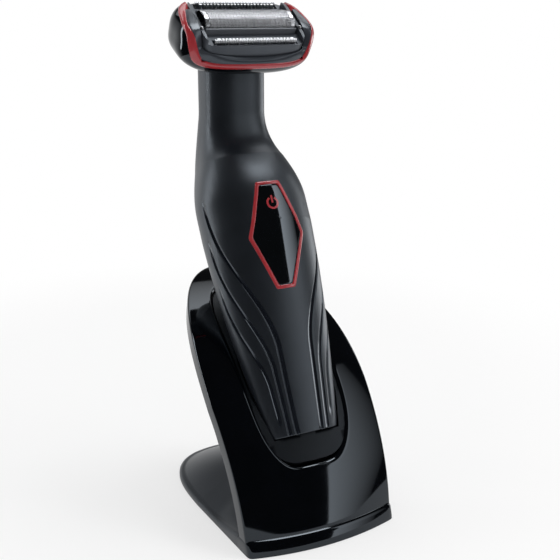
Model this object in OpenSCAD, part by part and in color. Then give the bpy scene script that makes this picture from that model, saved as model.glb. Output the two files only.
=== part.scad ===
// Body groomer in its charging stand.
// Millimetres, +Z up, front towards -Y, floor at Z = 0, origin under the middle of the stand.

/* [Stand] */
// depth from the toe to the back of the shield
stand_depth = 94.6; // [91:0.1:98]
// how far the foot's sides stay inside the shield's
foot_reveal = 0.4; // [0:0.1:1.5]
// rearward reach of the foot from the middle
foot_back = 42.6; // [41:0.2:46]
// how far the toe bows out across its width
toe_bow = 4.8; // [2:0.2:6]
// width of the toe, shared by the foot and the shield
toe_w = 62.2; // [58:0.2:66]
// depth of the glossy toe from its front to the foot
toe_depth = 12.8; // [10:0.2:16]
// height of the upright band along the toe
toe_h = 6; // [4:0.5:8]
// height of the foot's crown above the table
foot_h = 13; // [10:0.5:15]
// edge height of the foot at its rear
foot_edge = 2.6; // [2:0.2:4]
// width of the glossy shield
shield_w = 66.4; // [62:0.2:68]
// radius of the shield's lean, seen from the side
shield_r = 99.9; // [94:0.1:108]
// how far the arc's axis lies below the table
shield_sink = 17.5; // [15:0.5:20]
// how far the shield bows out across its width
shield_bow = 3.4; // [2:0.2:5]
// length of the shield along its face
shield_len = 123.3; // [116:0.1:126]
// length of the shield's straight sides
shield_straight = 50; // [44:1:60]
// squareness of the shield's rounded top (2 is an ellipse)
shield_crown = 2.3; // [2:0.1:2.8]
// depth of the shield's edge
shield_t = 5.4; // [4.6:0.2:6.4]
// moulded wall of the shield
shield_skin = 2.2; // [1.8:0.1:2.8]
// width of the pocket that the handle leans in
pocket_w = 38.2; // [37:0.2:42]
// start of the pocket, measured up the face
pocket_low = 22; // [18:1:26]
// end of the pocket, measured up the face
pocket_high = 106; // [98:1:108]
// how far the pocket liner lies below the shield's face
pocket_sink = 0.9; // [0.6:0.1:1.6]
// rearward swell of the back cover
bulge = 14; // [13:0.5:17]
// how far the back cover ends short of the shield's top
cover_short = 12; // [8:0.5:18]
// length of the steel ballast in the foot
ballast_len = 32; // [24:1:36]
// width of the steel ballast
ballast_w = 34; // [24:1:36]
// thickness of the steel ballast
ballast_t = 2.4; // [1.6:0.1:3]

/* [Handle] */
// lean of the grip from upright
lean = 29; // [24:0.5:33]
// distance of the grip's lower end behind the toe
end_back = 19.8; // [18:0.2:21]
// height of the grip's lower end
end_z = 36; // [34:0.5:42]
// straight length of the grip
grip_len = 108.5; // [100:0.5:116]
// radius of the bend into the neck
bend_r = 32; // [26:1:40]
// length of the upright neck
neck_len = 22; // [18:0.5:25]
// rearward step of the neck past the grip's middle line
neck_step = 4.7; // [2:0.1:6]
// width of the lower end
end_w = 29; // [26:0.5:32]
// depth of the lower end
end_d = 12.2; // [11:0.2:15]
// greatest width of the grip
belly_w = 44; // [40:0.5:48]
// greatest depth of the grip
belly_d = 37.4; // [34:0.2:40]
// distance of the widest section from the lower end
belly_at = 80; // [70:1:88]
// width of the neck
neck_w = 25; // [24:0.5:30]
// depth of the neck
neck_d = 20.8; // [20.6:0.2:25]
// where the shoulder starts to narrow
shoulder_from = 90; // [84:1:96]
// where the neck section is reached
shoulder_to = 130; // [124:1:134]
// roundness of the sections (2 is an ellipse)
section_n = 2.2; // [2:0.1:2.8]
// roundness of the neck's section
neck_n = 3; // [2:0.1:4]
// moulded wall of the handle
shell_wall = 2; // [1.6:0.1:2.4]
// depth of the three grip lines
groove_depth = 0.8; // [0.4:0.1:1.1]
// half width of a grip line
groove_half = 1.1; // [0.8:0.1:1.6]

/* [Button panel] */
// lower edge of the panel, measured up the grip
panel_low = 53.8; // [50:0.2:56]
// widest place of the panel
panel_mid = 74; // [68:0.5:80]
// upper edge of the panel
panel_high = 94.8; // [90:0.2:96]
// width at the lower edge
panel_low_w = 7.8; // [6:0.2:10]
// width at the widest place
panel_mid_w = 23.2; // [20:0.2:26]
// width at the upper edge
panel_high_w = 9.8; // [8:0.2:12]
// width of the coloured frame
trim_w = 1.3; // [1:0.1:1.8]
// gap between the frame and the key
key_gap = 0.2; // [0.15:0.05:0.35]
// travel of the key
key_travel = 0.6; // [0.4:0.1:0.8]
// place of the power mark, measured up the grip
mark_at = 86; // [82:0.5:88]
// outside diameter of the power mark
mark_d = 5; // [4:0.2:6]

/* [Head] */
// half width of the head block
head_a = 27.9; // [27:0.1:30]
// half depth of the head block
head_b = 15.2; // [14.6:0.1:17]
// half height of the head block
head_c = 11.6; // [11.2:0.1:13]
// tilt of the head block
head_tilt = 25.7; // [22:0.5:29]
// height of the head block's middle
head_z = 180.7; // [179:0.1:183]
// how far the head block's middle stands ahead of the neck's middle
head_ahead = 10.3; // [9:0.1:11.5]
// wall of the head shells
head_wall = 2; // [1.6:0.1:2.2]
// tilt of the shaving face
face_tilt = 36; // [33:0.5:39]
// height of the shaving face's middle
face_z = 186.1; // [185:0.1:187.5]
// how far the shaving face stands ahead of the neck's middle
face_ahead = 14.7; // [13.5:0.1:15.5]
// length of the foil
foil_len = 37.2; // [34:0.2:38]
// outside radius of the foil's arch
foil_r = 5.3; // [5:0.1:5.6]
// thickness the foil is drawn at
foil_t = 0.4; // [0.3:0.05:0.5]
// distance of each trimmer from the foil's middle
trimmer_off = 10.9; // [10.4:0.1:11.4]
// length of a trimmer
trimmer_len = 34; // [30:0.5:35]
// distance between trimmer teeth
tooth_pitch = 1.4; // [1.2:0.1:2]
// travel of the foil against its springs
foil_float = 1.2; // [0.8:0.1:1.4]
// travel of a trimmer against its spring
trimmer_float = 0.8; // [0.5:0.1:1]
// side stroke of the cutters each way
stroke = 1; // [0.6:0.1:1.2]

/* [Drive] */
// diameter of the motor can
motor_d = 16; // [14:0.5:16.5]
// length of the motor can
motor_len = 24; // [20:0.5:25]
// diameter of the motor shaft
shaft_d = 2; // [1.5:0.1:2.3]
// diameter of the rechargeable cell
cell_d = 14.2; // [13.5:0.1:14.5]
// length of the rechargeable cell
cell_len = 50; // [44:0.5:50.5]
// lower edge of the circuit board, measured up the grip
board_low = 57; // [56:0.5:57.5]
// length of the circuit board
board_len = 36; // [34:0.5:37]
// width of the circuit board
board_w = 15; // [14:0.5:17]
// thickness of the circuit board
board_t = 1.2; // [0.8:0.1:1.6]
// length of the slide rod in the head
rod_len = 44; // [42:0.5:46]
// diameter of the slide rod in the head
rod_d = 2; // [1.6:0.1:2.4]

/* [Fits] */
// gap around the handle in the pocket
pocket_gap = 0.6; // [0.4:0.1:0.9]
// gap around moving pieces in the head
slide_gap = 0.3; // [0.25:0.05:0.4]
// radial clearance of a running shaft
running_gap = 0.05; // [0.02:0.01:0.09]
// gap of fixed pieces laid in one another
seat_gap = 0.05; // [0.03:0.01:0.1]

/* [Inlet] */
// diameter of the low voltage inlet
inlet_d = 5.5; // [4:0.1:6]
// height of the inlet above the table
inlet_z = 5.8; // [5.6:0.1:6.2]

/* [Hidden] */
$fn = 64;

toe_y = -stand_depth / 2;
foot_w = shield_w - 2 * foot_reveal;
toe_inset = 2.3;
arc_y = toe_y + toe_inset + sqrt(pow(shield_r + shield_bow, 2) - pow(toe_h + shield_sink, 2));
arc_z = -shield_sink;
face_low = asin((toe_h + shield_sink) / shield_r);
face_mid = face_low + shield_len / 2 / shield_r * 180 / PI;
bow_r = (pow(shield_w / 2, 2) + pow(shield_bow, 2)) / 2 / shield_bow;
end_y = toe_y + end_back;
bend_len = bend_r * lean * PI / 180;
bend_y = end_y + grip_len * sin(lean);
bend_z = end_z + grip_len * cos(lean);
neck_y = bend_y + bend_r * (1 - cos(lean)) + neck_step;
neck_low = bend_z + bend_r * sin(lean);
neck_top = neck_low + neck_len;
shell_len = grip_len + bend_len + neck_len;
head_y = neck_y - head_ahead;
face_y = neck_y - face_ahead;
frame_half = 20.8;
frame_deep = 13;
frame_low = -8.2;
frame_high = -1.6;
cheek_top = 0.6;
floor_n = frame_low + 0.8;
channel_half = frame_half + 0.4;

// shared shapes

function clip(t) = min(1, max(0, t));
function ease(t) = let (u = clip(t)) u * u * (3 - 2 * u);
function power(v, e) = sign(v) * pow(abs(v), e);
function closed_face(n, k) = [for (i = [0:n - 1]) k + i];
function closed_face_back(n, k) = [for (i = [n - 1:-1:0]) k + i];

// quads between ring i and ring i + 1 of m points each, first point number k
function band_faces(i, m, k) =
    [for (j = [0:m - 1])
        [k + i * m + j, k + i * m + (j + 1) % m, k + (i + 1) * m + (j + 1) % m, k + (i + 1) * m + j]];

// solid skinned over a list of rings, each with the same number of points
module skin(rings) {
    m = len(rings[0]);
    n = len(rings);
    points = [for (r = rings) each r];
    quads = [for (i = [0:n - 2]) each band_faces(i, m, 0)];
    tris = [for (q = quads) each [[q[0], q[2], q[1]], [q[0], q[3], q[2]]]];
    caps = [closed_face(m, 0), closed_face_back(m, (n - 1) * m)];
    polyhedron(points, concat(tris, caps), convexity = 6);
}

// ring-shaped solid skinned round a closed list of rings
module skin_ring(rings) {
    m = len(rings[0]);
    n = len(rings);
    points = [for (r = rings) each r];
    quads = [for (i = [0:n - 1]) each [for (j = [0:m - 1])
        [i * m + j, i * m + (j + 1) % m, ((i + 1) % n) * m + (j + 1) % m, ((i + 1) % n) * m + j]]];
    polyhedron(points, [for (q = quads) each [[q[0], q[2], q[1]], [q[0], q[3], q[2]]]], convexity = 6);
}

// sheet between two grids of the same size, given row by row
module sheet(outer, inner) {
    n = len(outer);
    m = len(outer[0]);
    k = n * m;
    points = concat([for (r = outer) each r], [for (r = inner) each r]);
    top = [for (i = [0:n - 2], j = [0:m - 2]) let (a = i * m + j)
        each [[a, a + m, a + m + 1], [a, a + m + 1, a + 1]]];
    under = [for (i = [0:n - 2], j = [0:m - 2]) let (a = k + i * m + j)
        each [[a, a + m + 1, a + m], [a, a + 1, a + m + 1]]];
    ends = [for (j = [0:m - 2]) let (a = j, b = (n - 1) * m + j)
        each [[a, a + 1, k + a + 1], [a, k + a + 1, k + a],
              [b + 1, b, k + b], [b + 1, k + b, k + b + 1]]];
    sides = [for (i = [0:n - 2]) let (a = i * m, b = i * m + m - 1)
        each [[a + m, a, k + a], [a + m, k + a, k + a + m],
              [b, b + m, k + b + m], [b, k + b + m, k + b]]];
    polyhedron(points, concat(top, under, ends, sides), convexity = 6);
}

function oval(a, b, e, m) = [for (i = [0:m - 1]) let (t = 360 * i / m)
    [a * power(cos(t), 2 / e), b * power(sin(t), 2 / e)]];

// handle form: half width, half depth and middle line along the length s

function rise(s) = clip(s / belly_at);
function narrowing(s) = ease((s - shoulder_from) / (shoulder_to - shoulder_from));
function half_w(s) =
    let (grip = end_w / 2 + (belly_w - end_w) / 2 * sin(90 * rise(s)), k = narrowing(s))
    grip * (1 - k) + neck_w / 2 * k;
function half_d(s) =
    let (t = rise(s), k = narrowing(s),
         grip = end_d / 2 + (belly_d - end_d) / 2 * t * (0.78 + 0.22 * t))
    grip * (1 - k) + neck_d / 2 * k;
function section_at(s) = section_n + (neck_n - section_n) * narrowing(s);
function lean_at(s) = s < grip_len ? lean : max(0, lean - (s - grip_len) / bend_r * 180 / PI);
function spine(s) =
    let (p = lean_at(s), step = neck_step * narrowing(s),
         y = s < grip_len ? end_y + s * sin(lean) : bend_y + bend_r * (cos(p) - cos(lean)),
         z = s < grip_len ? end_z + s * cos(lean) : bend_z + bend_r * (sin(lean) - sin(p))
             + max(0, s - grip_len - bend_len))
    [y + step * cos(p), z - step * sin(p), p];

// point on the handle at length s and angle b from the front, pushed out by g
function skin_point(s, b, g) =
    let (c = spine(s), e = 2 / section_at(s), x = (half_w(s) + g) * power(sin(b), e),
         d = -(half_d(s) + g) * power(cos(b), e))
    [x, c[0] + d * cos(c[2]), c[1] - d * sin(c[2])];

// front face of the straight grip: depth ahead of the middle line at length s and side x
function front_at(s, x) =
    let (n = section_at(s)) half_d(s) * pow(max(0, 1 - pow(abs(x) / half_w(s), n)), 1 / n);

// the three grip lines sweep from the side of the grip to its front and run down to the end
line_low = [18.5, 30.5, 43];
line_turn = [60, 53, 42];
line_from = [32, 24, 18];
line_to = [89, 74, 56];
line_end = [4, 4, 8];
function line_angle(k, s) =
    line_low[k] + line_turn[k] * ease((s - line_from[k]) / (line_to[k] - line_from[k]));
function line_depth(k, s) =
    groove_depth * ease((s - line_end[k]) / 6) * (1 - ease((s - line_to[k] + 4) / 10));
function line_half(s) = groove_half / half_w(s) * 180 / PI;

// angles of the grid columns on one side at length s, and the sink of each column
function side_angles(s) =
    let (h = line_half(s), a = line_angle(0, s), b = max(line_angle(1, s), a + 3 * h),
         c = max(line_angle(2, s), b + 3 * h))
    concat([for (i = [0:4]) (a - h) * i / 5],
           [a - h, a, a + h, (a + b) / 2, b - h, b, b + h, (b + c) / 2, c - h, c, c + h],
           [for (i = [1:6]) c + h + (180 - c - h) * i / 6]);
function side_sinks(s) =
    concat([0, 0, 0, 0, 0], [0, line_depth(0, s), 0, 0, 0, line_depth(1, s), 0, 0, 0],
           [line_depth(2, s), 0], [0, 0, 0, 0, 0, 0]);
function outer_ring(s) =
    let (a = side_angles(s), k = side_sinks(s), n = len(a))
    concat([for (i = [0:n - 1]) skin_point(s, a[i], -k[i])],
           [for (i = [n - 2:-1:1]) skin_point(s, -a[i], -k[i])]);
function plain_ring(s, g, m) = [for (i = [0:m - 1]) skin_point(s, 360 * i / m, g)];

// frame on the straight grip: X across, Y up the grip, Z out of the front
module at_grip() {
    translate([0, end_y, end_z]) rotate([90 - lean, 0, 0]) children();
}
// frame on the shaving face: Y up the face, Z out of it
module at_face() {
    translate([0, face_y, face_z]) rotate([face_tilt, 0, 0]) children();
}
// frame of the head block
module at_head() {
    translate([0, head_y, head_z]) rotate([head_tilt, 0, 0]) children();
}

// stand

function face_angle(s) = face_low + s / shield_r * 180 / PI;
function chord(s) = shield_r * sin(face_angle(s) - face_mid);

// curved sheet between two depths below the shield's face
module face_sheet(d0, d1, w) {
    multmatrix([[0, 0, -1, 0], [-1, 0, 0, arc_y], [0, 1, 0, arc_z], [0, 0, 0, 1]])
    rotate([0, 0, face_low - 8])
    rotate_extrude(angle = face_angle(shield_len) - face_low + 20)
    intersection() {
        difference() {
            translate([shield_r + shield_bow - bow_r - d0, 0]) circle(bow_r, $fn = 180);
            translate([shield_r + shield_bow - bow_r - d1, 0]) circle(bow_r, $fn = 180);
        }
        translate([shield_r - 26, -w / 2]) square([36, w]);
    }
}
// prism square to the shield's chord
module through_face() {
    translate([0, arc_y, arc_z]) rotate([90 - face_mid, 0, 0])
    translate([0, 0, shield_r / 2]) linear_extrude(shield_r) children();
}
// straight sides that spread up from the toe, and a rounded top
module shield_outline(inset) {
    top = chord(shield_len) - inset;
    shoulder = chord(shield_straight);
    below = 12;
    spread = (shield_w - toe_w) / 2 / (shoulder - chord(0));
    foot_half = toe_w / 2 - inset - spread * below;
    crown = [for (i = [0:48]) let (t = 180 * i / 48)
        [(shield_w / 2 - inset) * power(cos(t), 2 / shield_crown),
         shoulder + (top - shoulder) * power(sin(t), 2 / shield_crown)]];
    polygon(concat([[foot_half, chord(0) - below]], crown, [[-foot_half, chord(0) - below]]));
}
module pocket_outline(inset) {
    low = chord(pocket_low);
    high = chord(pocket_high);
    translate([0, (low + high) / 2])
        polygon(oval(pocket_w / 2 - inset, (high - low) / 2 - inset, 3.6, 48));
}
module above_toe(z) {
    translate([-50, -100, z]) cube([100, 200, 160]);
}

module shield() {
    color([0.03, 0.03, 0.035])
    union() {
        difference() {
            intersection() {
                face_sheet(0, shield_t, shield_w + 4);
                through_face() shield_outline(0);
                above_toe(toe_h);
            }
            intersection() {
                face_sheet(shield_skin, shield_t + 1, shield_w + 4);
                through_face() shield_outline(shield_skin);
                above_toe(toe_h + shield_skin);
            }
            through_face() pocket_outline(0);
        }
        intersection() {
            foot_shell();
            translate([-50, toe_y - 1, 0]) cube([100, toe_depth + 1, 30]);
        }
    }
}

// rear fairing: half ovals behind the shield, deep low down and fading at the top
function cover_half(s) =
    let (t = clip((s - shield_straight) / (shield_len - shield_straight)),
         side = toe_w / 2 + (shield_w - toe_w) / 2 * clip(s / shield_straight))
    (side - 1.1) * pow(1 - pow(t, shield_crown), 1 / shield_crown);
function cover_depth(s) = bulge * (1 - ease((s - 34) / 62)) + 1.6;
function face_point(x, s, d) =
    let (r = shield_r + shield_bow * (1 - pow(2 * x / shield_w, 2)) - d, p = face_angle(s))
    [x, arc_y - r * cos(p), arc_z + r * sin(p)];
function cover_row(s, g) = [for (i = [0:16]) let (t = 180 * i / 16)
    face_point((cover_half(s) - g) * power(cos(t), 0.8), s,
               shield_t + 0.2 + max(0, cover_depth(s) - g) * power(sin(t), 0.8))];
cover_wall = 1.6;
cover_low = 3;
cover_stops = [for (i = [0:16]) cover_low + (shield_len - cover_short - cover_low) * i / 16];
module back_cover() {
    color([0.07, 0.07, 0.075])
    sheet([for (s = cover_stops) cover_row(s, 0)], [for (s = cover_stops) cover_row(s, cover_wall)]);
}
// space between the shield's skin and the inside of the back cover
module cover_room() {
    rear = [for (s = cover_stops) cover_row(s, cover_wall + seat_gap)];
    front = [for (i = [0:16])
        [for (p = rear[i]) face_point(p[0], cover_stops[i], shield_skin + seat_gap)]];
    sheet(rear, front);
}

module handle_room(g, s0, s1, n) {
    skin([for (i = [0:n]) plain_ring(s0 + (s1 - s0) * i / n, g, 32)]);
}
module cradle() {
    wall = pocket_gap + 1.8;
    color([0.09, 0.09, 0.095])
    difference() {
        union() {
            intersection() {
                face_sheet(pocket_sink, pocket_sink + 1.8, shield_w);
                through_face() pocket_outline(0.1);
            }
            intersection() {
                handle_room(wall, -2.2, 56, 10);
                cover_room();
            }
        }
        handle_room(pocket_gap, -0.4, 90, 12);
        at_grip() translate([-4.6, -5, -2.4]) cube([9.2, 8, 4.8]);
    }
}

// foot: domed tongue, boxy at the toe and oval at the rear

function foot_plan(t) =
    let (e = sin(t) < 0 ? toe_square : 3, v = power(sin(t), 2 / e), u = power(cos(t), 2 / e),
         half = foot_w / 2 + (toe_w - foot_w) / 2 * clip(-v),
         reach = sin(t) < 0 ? -toe_y - toe_bow * u * u : foot_back)
    [half * u, reach * v];
function foot_edge_at(y) = foot_edge + (toe_h - foot_edge) * (1 - ease((y - toe_y - 4) / 30));
function foot_top(p, k) =
    let (e = foot_edge_at(p[1]), y = p[1] * k)
    e + (foot_h - e) * (1 - pow(k, 2.2)) * ease((y - toe_y - 6) / 25);
toe_square = 24;
side_steps = [0.3, 0.45, 0.58, 0.7, 0.8, 0.88, 0.93, 0.96];
front_steps = [0.96, 0.86, 0.66, 0.44, 0.22];
function side_turn(w) = asin(pow(w, toe_square / 2));
function front_turn(v) = acos(pow(v, toe_square / 2));
function foot_turns() = concat(
    [for (i = [9:18]) 10 * i],
    [for (w = side_steps) 180 + side_turn(w)],
    [for (v = front_steps) 180 + front_turn(v)],
    [270],
    [for (i = [4:-1:0]) 360 - front_turn(front_steps[i])],
    [for (i = [7:-1:0]) 360 - side_turn(side_steps[i])],
    [for (i = [0:8]) 10 * i]);
function toe_slope(y) = toe_inset * (1 - ease((y - toe_y) / 20));
function foot_ring(k, drop) = [for (t = foot_turns()) let (p = foot_plan(t))
    [p[0] * k, (p[1] + toe_slope(p[1])) * k, foot_top(p, k) - drop]];
function flat_ring(k, z) = [for (t = foot_turns()) let (p = foot_plan(t)) [p[0] * k, p[1] * k, z]];
floor_gap = 0.25;
plate_t = 1.6;
foot_wall = 2;
cavity_k = 0.86;
module foot_solid() {
    skin(concat([flat_ring(1, floor_gap)], [for (k = [1, 0.96, 0.88, 0.76, 0.6, 0.42, 0.22, 0.06])
        foot_ring(k, 0)]));
}
module foot_shell() {
    difference() {
        foot_solid();
        foot_cavity();
    }
}
module foot_cavity() {
    skin(concat([flat_ring(cavity_k, -1), flat_ring(cavity_k, floor_gap + plate_t)],
                [for (k = [cavity_k, 0.72, 0.56, 0.36, 0.16, 0.05]) foot_ring(k, foot_wall)]));
}
screw_spots = [[24, -12], [-24, -12], [22, 15], [-22, 15]];
pad_spots = [[20, -32], [-20, -32], [15, 28.5], [-15, 28.5]];
inlet_face = 24;
module foot() {
    color([0.12, 0.12, 0.13])
    difference() {
        foot_solid();
        translate([-50, toe_y - 1, 0]) cube([100, toe_depth + 1 + seat_gap, 30]);
        difference() {
            foot_cavity();
            translate([-9, inlet_face - 13, 0]) cube([18, 40, 20]);
            for (p = screw_spots) translate([p[0], p[1], floor_gap + plate_t]) cylinder(h = 20, d = 6);
        }
        translate([-6.5, inlet_face, 2.2]) cube([13, 40, 20]);
        translate([-5 - seat_gap, inlet_face - 11.5, 1.6])
            cube([10 + 2 * seat_gap, 12, inlet_z + 3.4 - 1.6]);
        for (p = screw_spots) translate([p[0], p[1], 1]) cylinder(h = 5.6, d = 2.5);
    }
}
module base_plate() {
    color([0.1, 0.1, 0.1])
    difference() {
        translate([0, 0, floor_gap]) linear_extrude(plate_t - seat_gap)
            polygon([for (t = foot_turns()) foot_plan(t) * (cavity_k - 0.01)]);
        translate([-9.2, inlet_face - 13.2, 0]) cube([18.4, 40, 5]);
        for (p = screw_spots) translate([p[0], p[1], 0]) {
            cylinder(h = 5, d = 2.8);
            cylinder(h = floor_gap + 0.9, d = 5.2);
        }
        for (p = pad_spots) translate([p[0], p[1], 0]) cylinder(h = floor_gap + 0.8, d = 9);
    }
}
module foot_pads() {
    color([0.05, 0.05, 0.05])
    for (p = pad_spots) translate([p[0], p[1], 0])
        cylinder(h = floor_gap + 0.8 - seat_gap, d = 9 - 2 * seat_gap);
}
module stand_screws() {
    color([0.6, 0.6, 0.62])
    for (p = screw_spots) translate([p[0], p[1], floor_gap + 0.05]) difference() {
        union() {
            cylinder(h = 0.8, d = 5);
            cylinder(h = 5.2, d = 2.4);
        }
        translate([-1.6, -0.3, -0.1]) cube([3.2, 0.6, 0.5]);
        translate([-0.3, -1.6, -0.1]) cube([0.6, 3.2, 0.5]);
    }
}
module ballast() {
    color([0.5, 0.5, 0.52])
    translate([-ballast_w / 2, 10 - ballast_len, floor_gap + plate_t + 0.05])
        cube([ballast_w, ballast_len, ballast_t]);
}
module dc_socket() {
    color([0.08, 0.08, 0.08])
    difference() {
        translate([-5, inlet_face - 11.4, 1.7]) cube([10, 11.4 - seat_gap, inlet_z + 3.4 - 1.75]);
        translate([0, inlet_face - 9, inlet_z]) rotate([-90, 0, 0]) difference() {
            cylinder(h = 20, d = inlet_d);
            cylinder(h = 7.5, d = 1.65);
        }
    }
}

// charging contact in the seat, on the line of the grip
module charge_plug() {
    color([0.07, 0.07, 0.075])
    at_grip() difference() {
        union() {
            translate([-4.2, -4.4, -2]) cube([8.4, 7.6, 4]);
            translate([-6.5, -4.4, -3.2]) cube([13, 2.1, 3.8]);
        }
        for (x = [-2.2, 2.2]) translate([x, -2, 0]) rotate([-90, 0, 0]) cylinder(h = 10, d = 2.1);
    }
}

// handle

shell_stations = concat([for (i = [0:24]) panel_high * i / 24],
                        [for (i = [1:14]) panel_high + (shell_len - panel_high) * i / 14]);
room_stations = [for (i = [0:20]) shell_len * i / 20];
function inner_ring(s) =
    let (a = side_angles(s), n = len(a), all = concat(a, [for (i = [n - 2:-1:1]) -a[i]]))
    [for (i = [0:2:len(all) - 1]) skin_point(s, all[i], -shell_wall)];
module handle_tube() {
    outer = [for (s = shell_stations) outer_ring(s)];
    inner = [for (s = room_stations) inner_ring(s)];
    m = len(outer[0]);
    h = m / 2;
    n = len(outer);
    q = len(inner);
    base = n * m;
    points = concat([for (r = outer) each r], [for (r = inner) each r]);
    walls = [for (i = [0:n - 2], j = [0:m - 1]) let (a = i * m + j, b = i * m + (j + 1) % m)
        each [[a, a + m, b + m], [a, b + m, b]]];
    rooms = [for (i = [0:q - 2], j = [0:h - 1])
        let (a = base + i * h + j, b = base + i * h + (j + 1) % h)
        each [[a, b, b + h], [a, b + h, a + h]]];
    low = [for (k = [0:h - 1])
        let (a = 2 * k, b = 2 * k + 1, c = (2 * k + 2) % m, d = base + k, e = base + (k + 1) % h)
        each [[a, b, d], [b, c, e], [b, e, d]]];
    up = (n - 1) * m;
    ri = base + (q - 1) * h;
    high = [for (k = [0:h - 1])
        let (a = up + 2 * k, b = a + 1, c = up + (2 * k + 2) % m, d = ri + k, e = ri + (k + 1) % h)
        each [[b, a, d], [c, b, e], [b, d, e]]];
    polyhedron(points, concat(walls, rooms, low, high), convexity = 8);
}
module panel_shape(inset) {
    low = panel_low_w / 2 - inset * 0.8;
    mid = panel_mid_w / 2 - inset * 1.1;
    high = panel_high_w / 2 - inset * 0.8;
    polygon([[low, panel_low + inset], [mid, panel_mid], [high, panel_high - inset],
             [-high, panel_high - inset], [-mid, panel_mid], [-low, panel_low + inset]]);
}
module handle_shell() {
    color([0.13, 0.13, 0.14])
    difference() {
        handle_tube();
        at_grip() translate([0, 0, 6]) linear_extrude(30) panel_shape(-seat_gap);
    }
}

// panel pieces follow the swell of the grip's front
function panel_half(s, inset) =
    let (low = panel_low_w / 2 - inset * 0.8, mid = panel_mid_w / 2 - inset * 1.1,
        high = panel_high_w / 2 - inset * 0.8)
    s < panel_mid ? low + (mid - low) * (s - panel_low - inset) / (panel_mid - panel_low - inset)
                  : mid + (high - mid) * (s - panel_mid) / (panel_high - inset - panel_mid);
function panel_stations(inset) =
    concat([for (i = [0:4]) panel_low + inset + (panel_mid - panel_low - inset) * i / 4],
           [for (i = [1:4]) panel_mid + (panel_high - inset - panel_mid) * i / 4]);
function panel_row(s, inset, rise) =
    let (h = panel_half(s, inset)) [for (i = [-4:4]) let (x = h * i / 4) [x, s, front_at(s, x) + rise]];
module panel_sheet(inset, low, high) {
    at_grip() sheet([for (s = panel_stations(inset)) panel_row(s, inset, high)],
                    [for (s = panel_stations(inset)) panel_row(s, inset, low)]);
}
function panel_loop(inset, rise) =
    let (st = panel_stations(inset), n = len(st))
    concat([for (s = st) let (x = panel_half(s, inset)) [x, s, front_at(s, x) + rise]],
           [for (i = [n - 1:-1:0])
               let (s = st[i], x = -panel_half(s, inset)) [x, s, front_at(s, x) + rise]]);
module panel_trim() {
    color([0.7, 0.05, 0.06])
    at_grip() skin_ring([panel_loop(0, -2), panel_loop(0, 0.3), panel_loop(trim_w, 0.3),
        panel_loop(trim_w, -2)]);
}
switch_top = 14.4;
module power_key() {
    color([0.02, 0.02, 0.025])
    difference() {
        union() {
            panel_sheet(trim_w + key_gap, -1.6, 0.1);
            at_grip() translate([0, mark_at, switch_top + key_travel + 0.1])
                cylinder(h = front_at(mark_at, 0) - switch_top - key_travel - 0.9, d = 4);
        }
        at_grip() translate([0, mark_at, front_at(mark_at, 0) - 0.45]) power_sign(3, 0);
    }
}
module power_sign(h, g) {
    linear_extrude(h) {
        difference() {
            circle(d = mark_d - 2 * g);
            circle(d = mark_d - 1.6 + 2 * g);
            translate([-1 - g, 0]) square([2 + 2 * g, mark_d]);
        }
        translate([-0.4 + g, 0]) square([0.8 - 2 * g, mark_d / 2 + 0.4]);
    }
}
module power_mark() {
    color([0.8, 0.06, 0.06])
    at_grip() translate([0, mark_at, front_at(mark_at, 0) - 0.4]) power_sign(0.42, 0.08);
}

board_h = 9.6;
module circuit_board() {
    color([0.05, 0.25, 0.12])
    at_grip() difference() {
        translate([-board_w / 2, board_low, board_h]) cube([board_w, board_len, board_t]);
        for (x = [-5.5, 5.5]) translate([x, board_low + 3, board_h - 1]) cylinder(h = 4, d = 2.2);
    }
}
module tact_switch() {
    color([0.15, 0.15, 0.15])
    at_grip() translate([0, mark_at, board_h + board_t]) {
        translate([-3, -3, 0]) cube([6, 6, 2.6]);
        cylinder(h = switch_top - board_h - board_t, d = 3);
    }
}
cell_at = 26;
module battery_cell() {
    color([0.2, 0.45, 0.3])
    at_grip() translate([0, cell_at, 0]) rotate([-90, 0, 0]) {
        cylinder(h = cell_len - 1.2, d = cell_d);
        translate([0, 0, cell_len - 1.2]) cylinder(h = 1.2, d = 5.4);
    }
}
module battery_tabs() {
    color([0.75, 0.75, 0.74])
    at_grip() {
        translate([-3, cell_at - 0.35, -3]) cube([6, 0.3, 6]);
        translate([-2.4, cell_at + cell_len + 0.05, -2.4]) cube([4.8, 0.3, 11.9]);
    }
}
module chassis() {
    color([0.3, 0.3, 0.32])
    at_grip() difference() {
        union() {
            for (x = [-1, 1]) translate([x * 9.2 - 1, 20, -3]) cube([2, 72, 6]);
            translate([-10.2, 22.6, -5]) cube([20.4, 2.6, 10]);
            translate([-10.2, cell_at + cell_len + 1, -8]) cube([20.4, 2.4, 8 + board_h - 0.1]);
            for (x = [-1, 1]) translate([x * 5.5, board_low + 3, 7.3]) cylinder(h = board_h - 7.4, d = 3.4);
            for (x = [-1, 1]) translate([x * 5.5, board_low + 3, 7.3]) cylinder(h = board_h - 6.2, d = 2.1);
            for (x = [-1, 1]) translate([x < 0 ? -10.2 : 3.8, board_low + 1, 7.3]) cube([6.4, 4, 1]);
            for (x = [-1, 1]) translate([x * 9.2 - 1, board_low + 1, 0]) cube([2, 4, 8.3]);
        }
        translate([0, cell_at - 0.2, 0]) rotate([-90, 0, 0])
            cylinder(h = cell_len + 0.6, d = cell_d + 0.4);
    }
}
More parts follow.
